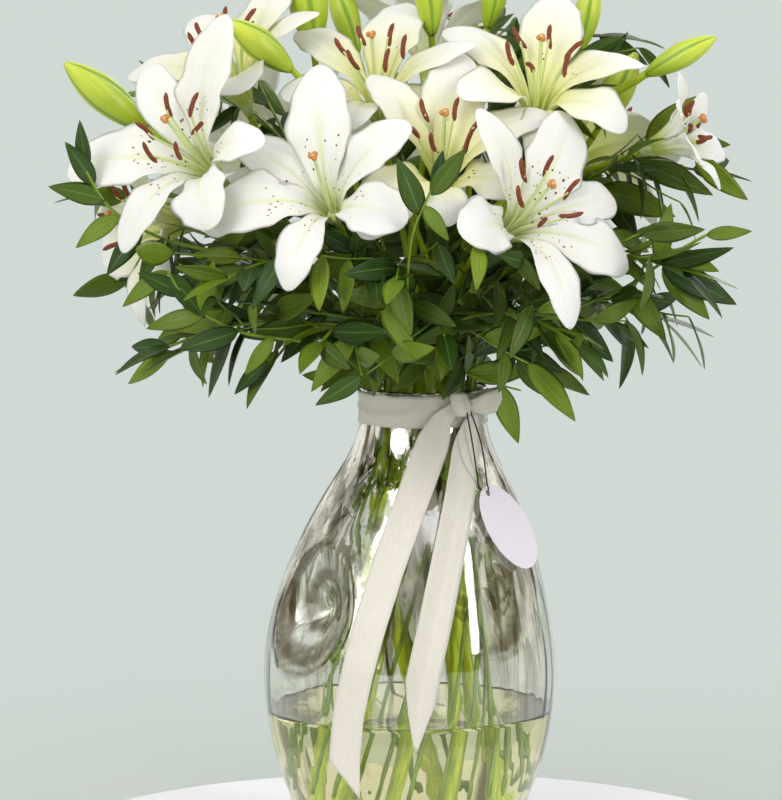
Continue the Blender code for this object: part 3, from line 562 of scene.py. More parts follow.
def place_blooms(room):
    """name to the fitted tepals of each bloom: the hearts are placed first."""
    for name, bloom in BLOOMS.items():
        for shape in [receptacle(bloom)] + stamen_shapes(bloom):
            room.add(shape, name)
    return {name: fitted_tepals(room, name, bloom) for name, bloom in BLOOMS.items()}


BUD_PROFILE = ((0, 0.30), (0.12, 0.62), (0.35, 0.95), (0.6, 1.0), (0.85, 0.62), (1, 0.16))


def bud_shape(bud):
    base, tip, width = bud
    return spindle(Vector(base), Vector(tip), width / 2, 6, BUD_PROFILE)


def in_vase(azimuth, z, foot, neck):
    """The place at height z of a stem that passes the neck at that azimuth."""
    part = (z - FOOT_Z) / (NECK_Z - FOOT_Z)
    r = foot + (neck - foot) * part
    return vase_centre(z) + heading(azimuth - SLOT_TWIST * (1 - part)) * r


def end_of(name):
    """Where a pedicel ends, and the way it points there."""
    if name in BLOOMS:
        throat, direction = BLOOMS[name][:2]
        axis = Vector(direction).normalized()
        return Vector(throat) - axis * (0.008 + GAP), axis
    base, tip = Vector(BUDS[name][0]), Vector(BUDS[name][1])
    axis = (tip - base).normalized()
    return base - axis * GAP, axis


def stem_lines(azimuth, carried):
    """The main stem's line, then those of its forks."""
    heights = [FOOT_Z + (NECK_Z - FOOT_Z) * k / 6 for k in range(7)]
    low = [in_vase(azimuth, z, LILY_FOOT, LILY_NECK) for z in heights]
    end, axis = end_of(carried[0])
    way = (low[-1] - low[-2]).normalized()
    reach = (end - low[-1]).length * 0.38
    last = end - axis * LAST_STRAIGHT
    high = bezier(low[-1], low[-1] + way * reach, last - axis * reach, last, 8)
    main = low + high[1:] + [end]
    lines = [main]
    for k, name in enumerate(carried[1:]):
        start = main[9 - k]
        way = (main[10 - k] - main[8 - k]).normalized()
        end, axis = end_of(name)
        reach = (end - start).length * 0.35
        last = end - axis * LAST_STRAIGHT
        lines.append(bezier(start, start + way * reach, last - axis * reach, last, 6) + [end])
    return lines


def stem_radii(line, main):
    low, high = STEM_RADII if main else PEDICEL_RADII
    return [low + (high - low) * k / (len(line) - 1) for k in range(len(line))]


def stem_shapes(azimuth, carried):
    lines = stem_lines(azimuth, carried)
    return [tube(line, stem_radii(line, k == 0), 6) for k, line in enumerate(lines)]


def branch_lines(azimuth, end):
    """The branch's line in the vase, then ever more changed lines from the neck to its tip."""
    heights = [FERN_Z + (NECK_Z - FERN_Z) * k / 3 for k in range(4)]
    low = [in_vase(azimuth, z, FERN_FOOT, FERN_NECK) for z in heights]
    start = low[-1]
    for rise in (0, 0.02, -0.02, 0.04):
        for turn in (0, -6, 6, -12, 12, -18, 18, -26, 26):
            for arch in (0, 0.025, -0.02):
                toward, distance, height = end[0] + turn, end[1], end[2] + rise
                tip = heading(toward) * distance + Vector((0, 0, height))
                up = Vector((0, 0, 0.05 + max(0, height - 0.40) * 0.35 + arch / 2))
                back = heading(toward) * (distance * 0.45) - Vector((0, 0, 0.035 + arch))
                yield low + bezier(start, start + up, tip - back, tip, 8)[1:]


def fitted_branch(room, azimuth, end):
    for line in branch_lines(azimuth, end):
        if room.free(tube(line, STALK_RADIUS, 3)):
            return line
    return line


def twig_starts(line, places):
    """Where side twigs leave the line: the point, its direction and the side, in turn left and right."""
    fine = resampled(line, 24)
    for k, part in enumerate(places):
        at = round(part * 23)
        way = (fine[at + 1] - fine[at - 1]).normalized()
        yield fine[at], way, Vector((way.y, -way.x, 0)).normalized() * (1 if k % 2 else -1)


def twig_line(start, way, flat, lean, lift, reach, sag):
    """A twig that leaves the stalk at the angle lean and sags by that share of its reach."""
    aim = (turned(way, flat, math.radians(lean)) + Vector((0, 0, lift))).normalized()
    tip = start + aim * reach - Vector((0, 0, reach * sag))
    return bezier(start, start + aim * reach * 0.4, tip - aim * reach * 0.3, tip, 4)


def twig_lines(line, chance):
    """Side twigs: pairs that leave the stalk left and right."""
    for k, fork in enumerate(twig_starts(line, TWIG_PLACES)):
        reach = min(TWIG_LENGTH, length_of(line) * 0.4) * chance.uniform(0.8, 1.15)
        for lift in (0.15, -0.25, 0.5, -0.6, 0.9):
            for lean in (40, 58, 26):
                yield k, twig_line(*fork, lean, lift, reach, 0.12)


def leaf_shape(base, way, normal, length, width):
    """A pointed leaf as a thin four-faced solid, folded across above and along beneath."""
    side = way.cross(normal).normalized() * (width / 2)
    middle = base + way * (length * 0.45) + normal * LEAF_THICKNESS
    points = [base, middle - side, base + way * length, middle + side]
    return points, [(0, 1, 3), (1, 2, 3), (0, 2, 1), (0, 3, 2)]


def aimed_leaf(foot, tip, facing, share):
    """A leaf from foot to tip, turned towards facing; share is its width over its length."""
    way = tip - foot
    facing = (facing - way * (facing.dot(way) / way.dot(way))).normalized()
    return foot, way.normalized(), facing, way.length, way.length * share


def settled(room, owner, leaf):
    """Whether the leaf has room; if so its place is taken, and a little more beyond its tip."""
    if not room.take(leaf_shape(*leaf), owner):
        return False
    room.add(leaf_shape(leaf[0] + leaf[1] * 0.004, *leaf[1:]))
    return True


def leaves_along(room, owner, line, chance):
    """The leaves on a stalk, (base, way, normal, length, width), each in a clear place."""
    count = max(2, int(length_of(line) / LEAF_STEP))
    points = resampled(line, count + 1)
    ways = tangents(points)
    found = []
    for k in range(1, count + 1):
        p, way = points[k], ways[k]
        if k == count:
            p = p - way * 0.004
        lift = Vector((0, 0, 1)) - way * way.z
        lift = lift.normalized() if lift.length > 0.2 else way.orthogonal().normalized()
        flat = way.cross(lift).normalized()
        sign = 1 if k % 2 else -1
        size = LEAF_LENGTH * chance.uniform(0.85, 1.12)
        lean = math.radians(chance.uniform(38, 58)) if k < count else 0
        for turn, share in LEAF_TRIES:
            t = math.radians(turn + chance.uniform(-8, 8))
            side = turned(flat, lift, t) * sign
            facing = (lift * math.cos(t) - flat * math.sin(t)).normalized()
            aim = turned(way, side, lean).normalized()
            leaf = (p, aim, squared(facing, aim), size * share, LEAF_WIDTH * size * share / LEAF_LENGTH)
            if settled(room, owner, leaf):
                found.append(leaf)
                break
    return found


def branch_parts(room, name, line, seed):
    """The branch's stalks with their radii, and its leaves."""
    chance = random.Random(seed)
    stalks = [(line, STALK_RADIUS)]
    leaves = leaves_along(room, name, line[BARE:], chance)
    done = set()
    for k, twig in twig_lines(line[BARE:], chance):
        if k not in done and room.take(tube(twig, TWIG_RADIUS, 3), name):
            done.add(k)
            stalks.append((twig, TWIG_RADIUS))
            leaves += leaves_along(room, name, twig, chance)
    return stalks, leaves


EXTRA_TWIGS = (0.22, 0.3, 0.46, 0.54, 0.7, 0.8)
HANGING_STEP, HANGING_TRIES = 0.016, 6
NECK_CLEAR = 0.346  # leaves near the neck stay above this
NECK_REACH, TAIL_REACH = 0.120, 0.070  # near the neck, and beside the ribbon's tails before the vase
LEAST_SHARE = 0.55  # a leaf that would be cut shorter than this is left out
GROWTH_SEED, BEND_SEED, SPRAY_SEED, COLLAR_SEED = 1000, 100, 2000, 3000


def extra_growth(room, name, stalks, seed):
    """More twigs and leaves in the gaps that are left, for the eye only."""
    chance = random.Random(GROWTH_SEED + seed)
    radius = TWIG_RADIUS * 0.8
    twigs, leaves, hanging = [], [], []
    for fork in twig_starts(stalks[0][0][BARE:], EXTRA_TWIGS):
        reach = TWIG_LENGTH * chance.uniform(0.6, 0.95)
        for lift in (0.2, -0.3, 0.6, -0.7):
            twig = twig_line(*fork, chance.uniform(35, 60), lift, reach, 0.15)
            if inside(twig[-1]) and room.take(tube(twig, radius, 3), name):
                twigs.append((twig, radius))
                leaves += leaves_along(room, name, twig, chance)
                break
    for stalk, _ in stalks + twigs:
        line = stalk[BARE:] if stalk is stalks[0][0] else stalk
        leaves += leaves_along(room, name, line, chance)
        hanging += hanging_leaves(room, name, line, chance)
    leaves = [rolled(room, name, leaf, chance) for leaf in leaves]
    leaves = [leaf for leaf in leaves if leaf] + hanging
    return twigs, [leaf for leaf in map(above_band, leaves) if leaf and inside(leaf[0] + leaf[1] * leaf[3])]


def inside(p):
    """Whether the point lies in the CAD model's box."""
    low, high = cad_box
    return all(low[i] < p[i] < high[i] for i in range(3))


def hanging_leaves(room, owner, line, chance):
    """Leaves that hang outwards and down from a stalk, their faces turned out."""
    found = []
    for p in resampled(line, max(3, int(length_of(line) / HANGING_STEP)))[1:]:
        out = Vector((p.x, p.y, 0)).normalized()
        side = Vector((-out.y, out.x, 0))
        for _ in range(HANGING_TRIES):
            aim = out * chance.uniform(0.1, 1.0) + side * chance.uniform(-1.0, 1.0)
            aim = (aim + Vector((0, 0, chance.uniform(-1.1, 0.35)))).normalized()
            size = LEAF_LENGTH * chance.uniform(0.7, 1.15)
            leaf = (p, aim, squared(out, aim), size, LEAF_WIDTH * size / LEAF_LENGTH)
            if settled(room, owner, leaf):
                found.append(leaf)
                break
    return found


def above_band(leaf):
    """The leaf, shorter where it would hang before the ribbon, or None where too little is left."""
    base, way, normal, length, width = leaf
    tip = base + way * length
    aside = tip.x - NECK_SHIFT
    near = math.hypot(aside, tip.y) < NECK_REACH
    lowest = NECK_CLEAR if near else NECK_CLEAR - 0.12 * (tip.y + 0.05)
    if tip.z > lowest or not (near or tip.y < 0 and abs(aside) < TAIL_REACH):
        return leaf
    share = (base.z - lowest) / (base.z - tip.z)
    return (base, way, normal, length * share, width * share ** 0.5) if share > LEAST_SHARE else None


def rolled(room, owner, leaf, chance):
    """The leaf turned about its own line so that its face looks outwards, or None without room."""
    base, way, normal, length, width = leaf
    out = Vector((base.x, base.y, 0.02)).normalized()
    for share in (chance.uniform(0.1, 0.5), chance.uniform(0.5, 1.2)):
        facing = normal * (share if normal.dot(out) > -0.3 else -share) + out
        facing += Vector((chance.uniform(-0.5, 0.5), chance.uniform(-0.5, 0.5), 0))
        turned_leaf = (base, way, squared(facing, way), length, width)
        if room.take(leaf_shape(*turned_leaf), owner):
            return turned_leaf
    return None


SPRIG_STALK = ((0.002, -0.098, 0.395), (-0.002, -0.140, 0.430), (0.001, -0.166, 0.471),
               (0.010, -0.172, 0.496), (0.0165, -0.172, 0.5115))
SPRIG_LEAVES = (  # foot and tip; the last leaf hangs beside the neck
    ((0.007, -0.170, 0.488), (-0.008, -0.178, 0.531)), ((0.0165, -0.172, 0.511), (0.025, -0.174, 0.535)),
    ((0.015, -0.172, 0.503), (0.038, -0.180, 0.538)), ((0.010, -0.172, 0.496), (0.026, -0.180, 0.470)),
    ((0.066, -0.032, 0.350), (0.078, -0.042, 0.306)),
)
SPRIG_FACING, SPRIG_SHARE, SPRIG_RADIUS = (0.15, -1, 0.15), 0.34, 0.0009
SPRIG_BRANCH = 2  # the branch that the sprig belongs to


def front_sprig():
    """The stalk of the sprig before the middle lily, and its leaves."""
    facing = Vector(SPRIG_FACING)
    leaves = [aimed_leaf(Vector(foot), Vector(tip), facing, SPRIG_SHARE) for foot, tip in SPRIG_LEAVES]
    return [Vector(p) for p in SPRIG_STALK], leaves


SPRAYS = {  # a branch, and its spray: the depth, the stalk and the leaves' feet and tips, as x and z
    13: (-0.055, ((0.062, 0.365), (0.112, 0.404), (0.159, 0.425), (0.196, 0.451), (0.218, 0.464)),
         ((0.080, 0.374, 0.100, 0.341), (0.116, 0.405, 0.150, 0.368), (0.155, 0.422, 0.158, 0.350),
          (0.161, 0.424, 0.190, 0.392), (0.186, 0.440, 0.222, 0.401), (0.186, 0.442, 0.242, 0.411),
          (0.183, 0.443, 0.190, 0.488), (0.196, 0.452, 0.224, 0.437), (0.218, 0.464, 0.252, 0.466))),
    14: (-0.030, ((0.115, 0.470), (0.150, 0.500), (0.178, 0.521), (0.198, 0.527), (0.214, 0.515)),
         ((0.178, 0.521, 0.214, 0.566), (0.198, 0.527, 0.240, 0.525), (0.168, 0.513, 0.226, 0.488),
          (0.214, 0.515, 0.252, 0.481), (0.140, 0.490, 0.200, 0.478), (0.146, 0.495, 0.172, 0.450),
          (0.190, 0.525, 0.222, 0.552))),
    8: (-0.080, ((-0.080, 0.392), (-0.120, 0.398), (-0.146, 0.410), (-0.165, 0.426), (-0.176, 0.444)),
        ((-0.176, 0.444, -0.212, 0.420), (-0.174, 0.442, -0.150, 0.408), (-0.150, 0.412, -0.194, 0.404),
         (-0.125, 0.400, -0.168, 0.384), (-0.150, 0.412, -0.146, 0.452), (-0.165, 0.426, -0.196, 0.446),
         (-0.100, 0.396, -0.120, 0.366))),
    9: (-0.060, ((-0.140, 0.455), (-0.180, 0.465), (-0.212, 0.482), (-0.226, 0.497), (-0.236, 0.515)),
        ((-0.222, 0.494, -0.261, 0.506), (-0.230, 0.505, -0.250, 0.536), (-0.236, 0.515, -0.240, 0.552),
         (-0.212, 0.482, -0.246, 0.462), (-0.196, 0.474, -0.222, 0.440), (-0.216, 0.486, -0.200, 0.520),
         (-0.180, 0.466, -0.200, 0.432))),
}


def fitted_spray(room, depth, stalk, pairs, seed):
    """A spray that reaches out at the side, set at the depth where the most leaves find room."""
    best = None
    for shift in (0, 0.02, -0.02, 0.04, -0.04, 0.06):
        chance = random.Random(SPRAY_SEED + seed)
        line = [Vector((x, depth + shift - 0.002 * i, z)) for i, (x, z) in enumerate(stalk)]
        leaves = []
        for x0, z0, x1, z1 in pairs:
            foot = Vector((x0, depth + shift - 0.006, z0))
            tip = Vector((x1, foot.y + chance.uniform(-0.02, 0.004), z1))
            facing = Vector((chance.uniform(-0.5, 0.5), -1, chance.uniform(0, 0.6)))
            leaf = aimed_leaf(foot, tip, facing, chance.uniform(0.28, 0.36))
            if room.free(leaf_shape(*leaf)):
                leaves.append(leaf)
        if best is None or len(leaves) > len(best[1]):
            best = (line, leaves)
    for leaf in best[1]:
        room.add(leaf_shape(*leaf))
    return best


# distance from the axis and height of the feet, the same of the tips, and the count of leaves
COLLAR = ((0.036, 0.392, 0.058, 0.350, 13), (0.050, 0.412, 0.082, 0.366, 17),
          (0.066, 0.420, 0.104, 0.380, 21))


def collar_leaves(room):
    """Rings of leaves that hang round the neck, just above the ribbon."""
    chance = random.Random(COLLAR_SEED)
    leaves = []

    def place(azimuth, distance, height):
        return heading(azimuth) * distance + Vector((NECK_SHIFT, 0, height))

    for near, high, far, low, count in COLLAR:
        for k in range(count):
            azimuth = 360 * (k + chance.uniform(-0.3, 0.3)) / count
            foot = place(azimuth, near, high + chance.uniform(-0.006, 0.006))
            for sway in (0, 14, -14, 26, -26):
                tip = place(azimuth + sway, far, low + chance.uniform(0, 0.010))
                facing = heading(azimuth + chance.uniform(-40, 40)) + Vector((0, 0, 0.5))
                leaf = aimed_leaf(foot, tip, facing, chance.uniform(0.30, 0.38))
                if room.take(leaf_shape(*leaf)):
                    leaves.append(leaf)
                    break
    return leaves


# ---- meshes that carry facts for their materials ----
def linked(name, data):
    """A new object in the scene."""
    made = bpy.data.objects.new(name, data)
    bpy.context.collection.objects.link(made)
    return made


class Batch:
    """Shapes gathered into one piece; each point carries (across, along, chance, x, y, under)."""

    def __init__(self):
        self.points, self.faces, self.facts = [], [], []

    def add(self, shape, facts=None):
        start = len(self.points)
        self.points += shape[0]
        self.faces += [tuple(start + i for i in face) for face in shape[1]]
        self.facts += facts or [(0, 0, 0.5, 0, 0, 0)] * len(shape[0])

    def make(self, name, finish, slot, nodes=()):
        mesh = bpy.data.meshes.new(name)
        mesh.from_pydata([tuple(p) for p in self.points], [], self.faces)
        for label, part in (("place", slice(0, 3)), ("metric", slice(3, 6))):
            layer = mesh.attributes.new(label, "FLOAT_VECTOR", "POINT")
            layer.data.foreach_set("vector", [x for fact in self.facts for x in fact[part]])
        mesh.shade_smooth()
        mesh.materials.append(finish)
        piece = linked(name, mesh)
        if nodes:
            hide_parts(*nodes)
        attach(piece, "root")
        return piece


def make_piece(name, shape, facts, finish, slot, node):
    """A piece of one shape that stands for one CAD node."""
    batch = Batch()
    batch.add(shape, facts)
    return batch.make(name, finish, slot, [node])


def blade(rows, normals, facts, thickness):
    """A thin closed blade; each row runs from edge to edge, and the last row is the tip."""
    points, faces, carried, starts = [], [], [], []
    n = len(rows[0])
    for row, normal, fact in zip(rows[:-1], normals, facts):
        starts.append(len(points))
        points += row
        points += [row[i] - normal * thickness for i in range(1, n - 1)]
        carried += fact
        carried += [(*fact[i][:5], 1) for i in range(1, n - 1)]
    tip = len(points)
    points.append(rows[-1][0])
    carried.append(facts[-1][0])

    def under(k, i):
        return starts[k] + (i if i in (0, n - 1) else n + i - 1)

    last = len(starts) - 1
    for i in range(n - 1):
        for k in range(last):
            a, b = starts[k], starts[k + 1]
            faces.append((a + i, b + i, b + i + 1, a + i + 1))
            faces.append((under(k, i), under(k, i + 1), under(k + 1, i + 1), under(k + 1, i)))
        faces.append((starts[last] + i, tip, starts[last] + i + 1))
        faces.append((under(last, i), under(last, i + 1), tip))
    faces.append(tuple(range(n)) + tuple(under(0, i) for i in range(n - 2, 0, -1)))
    return (points, faces), carried


def slab(rows, normals, thickness, loop=False):
    """A thin closed sheet; rows run from edge to edge, and normals has one at each point."""
    m, n = len(rows), len(rows[0])
    points = [p for row in rows for p in row]
    points += [p - q * thickness for row, qs in zip(rows, normals) for p, q in zip(row, qs)]
    faces, size = [], m * n
    for k in range(m if loop else m - 1):
        a, b = k * n, (k + 1) % m * n
        for i in range(n - 1):
            faces.append((a + i, b + i, b + i + 1, a + i + 1))
            faces.append((size + a + i, size + a + i + 1, size + b + i + 1, size + b + i))
        faces.append((a, size + a, size + b, b))
        faces.append((a + n - 1, b + n - 1, size + b + n - 1, size + a + n - 1))
    if not loop:
        e = (m - 1) * n
        for i in range(n - 1):
            faces.append((i, i + 1, size + i + 1, size + i))
            faces.append((e + i, size + e + i, size + e + i + 1, e + i + 1))
    facts = [(2 * i / (n - 1) - 1, k / (m - 1), 0.5, i * RIBBON_WIDTH / (n - 1), k * 0.004, 0)
             for k in range(m) for i in range(n)]
    return (points, faces), facts + facts


def rounded(points, radii, sides):
    """A tube, and the facts of its points: the angle, the place along it and the metres."""
    shape = tube(points, radii, sides)
    count, run, facts = len(points), 0.0, []
    chance = 0.5 + 0.5 * noise.noise(points[0] * 97)
    for k, p in enumerate(points):
        run += (p - points[k - 1]).length if k else 0
        facts += [(i / sides, k / (count - 1), chance, i / sides * 0.02, run, 0) for i in range(sides)]
    return shape, facts


# ---- materials ----
class Nodes:
    """Short calls for building the nodes of a material or the world."""

    def __init__(self, owner):
        self.owner = owner
        owner.use_nodes = True
        self.tree = owner.node_tree

    def put(self, socket, value):
        if isinstance(value, bpy.types.NodeSocket):
            self.tree.links.new(value, socket)
        else:
            socket.default_value = value

    def node(self, kind, inputs, **settings):
        made = self.tree.nodes.new("ShaderNode" + kind)
        for key, value in settings.items():
            setattr(made, key, value)
        for key, value in inputs.items():
            self.put(made.inputs[key], value)
        return made

    def split(self, vector):
        return self.node("SeparateXYZ", {0: vector}).outputs

    def facts(self, label):
        """The three facts that a mesh carries under that label."""
        return self.split(self.node("Attribute", {}, attribute_name=label).outputs["Vector"])

    def place(self, output="Object"):
        return self.node("TexCoord", {}).outputs[output]

    def vector(self, x, y, z):
        return self.node("CombineXYZ", {0: x, 1: y, 2: z}).outputs[0]

    def math(self, operation, a, b=0.0):
        return self.node("Math", {0: a, 1: b}, operation=operation).outputs[0]

    def times(self, a, b):
        return self.math("MULTIPLY", a, b)

    def add(self, a, b):
        return self.math("ADD", a, b)

    def ramp(self, x, low, high):
        """0 below low, 1 above high; low may be the larger."""
        return self.node("MapRange", {0: x, 1: low, 2: high}, interpolation_type="SMOOTHSTEP").outputs[0]

    def mix(self, amount, a, b):
        made = self.node("Mix", {0: amount}, data_type="RGBA")
        for socket, value in ((made.inputs[6], a), (made.inputs[7], b)):
            self.put(socket, value if isinstance(value, bpy.types.NodeSocket) else (*value, 1))
        return made.outputs[2]

    def layered(self, colour, *layers):
        """The colour under layers of (amount, share, colour)."""
        for amount, share, over in layers:
            colour = self.mix(self.times(amount, share), colour, over)
        return colour

    def noise(self, vector, scale, detail=3.0, distortion=0.0):
        inputs = {"Vector": vector, "Scale": scale, "Detail": detail, "Distortion": distortion}
        return self.node("TexNoise", inputs).outputs["Fac"]


class Finish(Nodes):
    """One material; fixed gives the shader's uniform values."""

    def __init__(self, name, **fixed):
        super().__init__(bpy.data.materials.new(name))
        self.shader = self.tree.nodes["Principled BSDF"]
        for key, value in fixed.items():
            self.shader.inputs[key.replace("_", " ")].default_value = value

    def done(self, colour, height=None, distance=0.0005, strength=1.0):
        """The material with its colour and, where height is given, its relief."""
        self.put(self.shader.inputs["Base Color"], colour)
        if height is not None:
            bump = self.node("Bump", {"Height": height, "Distance": distance, "Strength": strength})
            self.put(self.shader.inputs["Normal"], bump.outputs[0])
        return self.owner


def petal_material(name, cream, spots):
    """White with a green throat and midrib, faint veins and dark spots; cream adds yellow."""
    n = Finish(name, Roughness=0.45, Subsurface_Weight=0.5, Subsurface_Scale=0.003,
               Subsurface_Radius=(1.0, 1.0, 0.75), Specular_IOR_Level=0.3)
    across, along, chance = n.facts("place")
    x, y, under = n.facts("metric")
    off = n.math("ABSOLUTE", across)
    broad = n.noise(n.vector(x, y, chance), 40)
    veins = n.math("SINE", n.times(across, 26))
    rib = n.times(n.ramp(off, 0.17, 0.02), n.ramp(along, 0.92, 0.2))
    throat = n.add(n.ramp(along, 0.34, 0.04), n.times(under, n.ramp(along, 0.55, 0.0)))
    colour = n.layered(
        n.mix(n.ramp(broad, 0.35, 0.8), (0.87, 0.85, 0.80), (0.83, 0.81, 0.71)),
        (n.ramp(along, 0.95, 0.1), cream, (0.88, 0.85, 0.25)),
        (n.ramp(veins, 0.5, 1), 0.10, (0.70, 0.71, 0.55)),
        (rib, 0.7, (0.66, 0.74, 0.28)),
        (throat, 0.72, (0.58, 0.68, 0.16)),
        (n.ramp(off, 0.93, 1.0), 0.3, (0.80, 0.78, 0.50)),
    )
    spread = n.vector(x, n.times(y, 0.7), chance)
    cells = n.node("TexVoronoi", {"Vector": spread, "Scale": 290.0})
    size = n.times(n.math("SUBTRACT", broad, 0.5 - spots), 0.75)
    dots = n.math("LESS_THAN", cells.outputs["Distance"], size)
    zone = n.times(n.ramp(along, 0.12, 0.2), n.ramp(along, 0.62, 0.44))
    zone = n.times(zone, n.ramp(off, 0.86, 0.6))
    zone = n.times(zone, n.math("SUBTRACT", 1.0, under))
    colour = n.mix(n.times(dots, n.math("GREATER_THAN", zone, 0.5)), colour, (0.16, 0.025, 0.03))
    return n.done(colour, n.add(n.times(veins, 0.25), broad), 0.0003, 0.4)


def leaf_material():
    """Dark to fresh green by the leaf's chance, with a paler midrib, veins and underside."""
    n = Finish("ruscus_leaf", Roughness=0.36, Specular_IOR_Level=0.3, Subsurface_Weight=0.04,
               Subsurface_Scale=0.002)
    across, along, chance = n.facts("place")
    x, y, under = n.facts("metric")
    veins = n.math("SINE", n.times(across, 30))
    rib = n.ramp(n.math("ABSOLUTE", across), 0.12, 0.03)
    colour = n.layered(
        n.mix(n.ramp(chance, 0.2, 1.0), (0.020, 0.052, 0.003), (0.215, 0.310, 0.014)),
        (n.noise(n.vector(x, y, chance), 90), 0.45, (0.03, 0.09, 0.012)),
        (n.ramp(veins, 0.2, 1), 0.07, (0.13, 0.26, 0.05)),
        (rib, 0.35, (0.15, 0.30, 0.06)),
        (under, 0.3, (0.12, 0.24, 0.03)),
        (n.ramp(along, 0.85, 1.0), 0.25, (0.22, 0.24, 0.05)),
    )
    return n.done(colour, n.math("SUBTRACT", n.times(veins, 0.4), rib), 0.0004, 0.7)


def stem_material(name, dark, light):
    """A green stalk with fine lengthwise streaks and some speckles."""
    n = Finish(name, Roughness=0.38, Subsurface_Weight=0.06, Subsurface_Scale=0.003)
    chance = n.facts("place")[2]
    x, y, _ = n.facts("metric")
    streaks = n.noise(n.vector(n.times(x, 22), y, chance), 60)
    specks = n.ramp(n.noise(n.vector(x, y, chance), 420, 1.0), 0.68, 0.8)
    colour = n.layered(n.mix(n.ramp(streaks, 0.3, 0.75), dark, light), (specks, 0.45, (0.12, 0.10, 0.02)))
    return n.done(colour, streaks, 0.0004, 0.6)


def bud_material():
    """Green at the foot and paler to the tip, with streaks and darker seams."""
    n = Finish("lily_bud", Roughness=0.36, Subsurface_Weight=0.15, Subsurface_Scale=0.004)
    _, along, chance = n.facts("place")
    x, y, seam = n.facts("metric")
    streaks = n.noise(n.vector(n.times(x, 14), y, chance), 70)
    colour = n.layered(
        n.mix(n.ramp(along, 0.1, 0.95), (0.42, 0.54, 0.025), (0.64, 0.70, 0.07)),
        (n.ramp(streaks, 0.35, 0.7), 0.4, (0.30, 0.50, 0.05)),
        (n.ramp(seam, 0.25, 0.9), 0.75, (0.13, 0.29, 0.015)),
    )
    return n.done(colour, streaks, 0.0004, 0.6)


def pollen_material(name, dark, light, roughness):
    n = Finish(name, Roughness=roughness)
    grain = n.noise(n.place(), 900, 2.0)
    return n.done(n.mix(n.ramp(grain, 0.3, 0.7), dark, light), grain, 0.0006, 0.9)


def satin_material():
    n = Finish("champagne_satin", Roughness=0.34, Sheen_Weight=0.25, Sheen_Roughness=0.4)
    x, y, _ = n.facts("metric")
    weave = n.math("SINE", n.times(y, 9000))
    threads = n.noise(n.vector(n.times(x, 60), y, 0.5), 90)
    colour = n.mix(n.ramp(threads, 0.3, 0.7), (0.66, 0.61, 0.53), (0.78, 0.735, 0.66))
    return n.done(colour, n.add(n.times(weave, 0.3), threads), 0.0002, 0.5)


def card_material():
    n = Finish("tag_card", Roughness=0.55)
    grain = n.noise(n.place(), 700, 4.0)
    colour = n.mix(grain, (0.77, 0.69, 0.78), (0.83, 0.77, 0.84))
    return n.done(colour, grain, 0.0002, 0.5)


def cotton_material():
    n = Finish("black_string", Roughness=0.8)
    grain = n.noise(n.place(), 1800, 2.0)
    return n.done(n.mix(grain, (0.010, 0.010, 0.010), (0.045, 0.042, 0.040)), grain, 0.0003, 0.9)


def glass_material():
    """Clear glass with a thin lustre that runs down it in smoky and mirroring streaks."""
    n = Finish("lustre_glass", Roughness=0.0, IOR=1.5, Transmission_Weight=1.0, Coat_Weight=0.45,
               Coat_Roughness=0.01, Coat_IOR=1.6)
    x, y, z = n.split(n.place())
    pinch = n.facts("place")[1]

    def tall(stretch):
        return n.vector(x, y, n.times(z, stretch))

    def streaks(scale, stretch, low, high):
        return n.ramp(n.noise(tall(stretch), scale, 3.0, 0.9), low, high)

    above = n.ramp(z, 0.07, 0.20)
    broad = n.times(streaks(36.0, 0.12, 0.5, 0.62), 0.5)
    smoke = n.math("MAXIMUM", streaks(84.0, 0.08, 0.54, 0.59), broad)
    smoke = n.math("MAXIMUM", n.times(smoke, above), pinch)
    colour = n.mix(n.times(smoke, 0.85), (0.99, 0.975, 0.92), (0.20, 0.155, 0.06))
    reach = n.add(0.32, n.times(n.ramp(z, 0.17, 0.27), 0.45))
    mirror = n.times(streaks(48.0, 0.10, 0.47, 0.54), n.times(above, reach))
    n.put(n.shader.inputs["Metallic"], mirror)
    return n.done(colour, n.noise(tall(0.12), 60.0, 1.0), 0.0016, 0.6)


def water_material():
    n = Finish("water", Roughness=0.0, IOR=1.33, Transmission_Weight=1.0, Specular_Tint=(0.3, 0.3, 0.3, 1))
    cloud = n.noise(n.place(), 30, 1.0)
    return n.done(n.mix(cloud, (0.86, 0.85, 0.60), (0.76, 0.76, 0.47)), cloud, 0.0002, 0.2)


# ---- camera and stage ----
AIM, DISTANCE, ELEVATION = Vector((-0.014, 0, 0.334)), 4.5, 7
LENS, SENSOR = 270, 36
FLOOR_RADIUS, TABLE_RADIUS, DISC_SIDES = 40, 0.27, 160
SKY_STRENGTH = 1.0
SKY_DARK, SKY_BAR, SKY_TOP = (0.11, 0.085, 0.045), (0.88, 0.865, 0.81), (0.88, 0.90, 0.93)


def make_camera():
    data = bpy.data.cameras.new("camera")
    data.lens, data.sensor_fit = LENS, "VERTICAL"
    data.sensor_width = data.sensor_height = SENSOR
    camera = linked("camera", data)
    rise = math.radians(ELEVATION)
    camera.location = AIM + Vector((0, -math.cos(rise), math.sin(rise))) * DISTANCE
    camera.rotation_euler = (AIM - camera.location).to_track_quat("-Z", "Y").to_euler()
    bpy.context.scene.camera = camera


def make_disc(name, radius, height, colour, roughness):
    turns = [2 * math.pi * k / DISC_SIDES for k in range(DISC_SIDES)]
    mesh = bpy.data.meshes.new(name)
    mesh.from_pydata([(radius * math.cos(a), radius * math.sin(a), height) for a in turns], [],
                     [tuple(range(DISC_SIDES))])
    disc = linked(name, mesh)
    n = Finish(name, Roughness=roughness, Specular_IOR_Level=0.2)
    mesh.materials.append(n.done((*colour, 1)))
    return disc


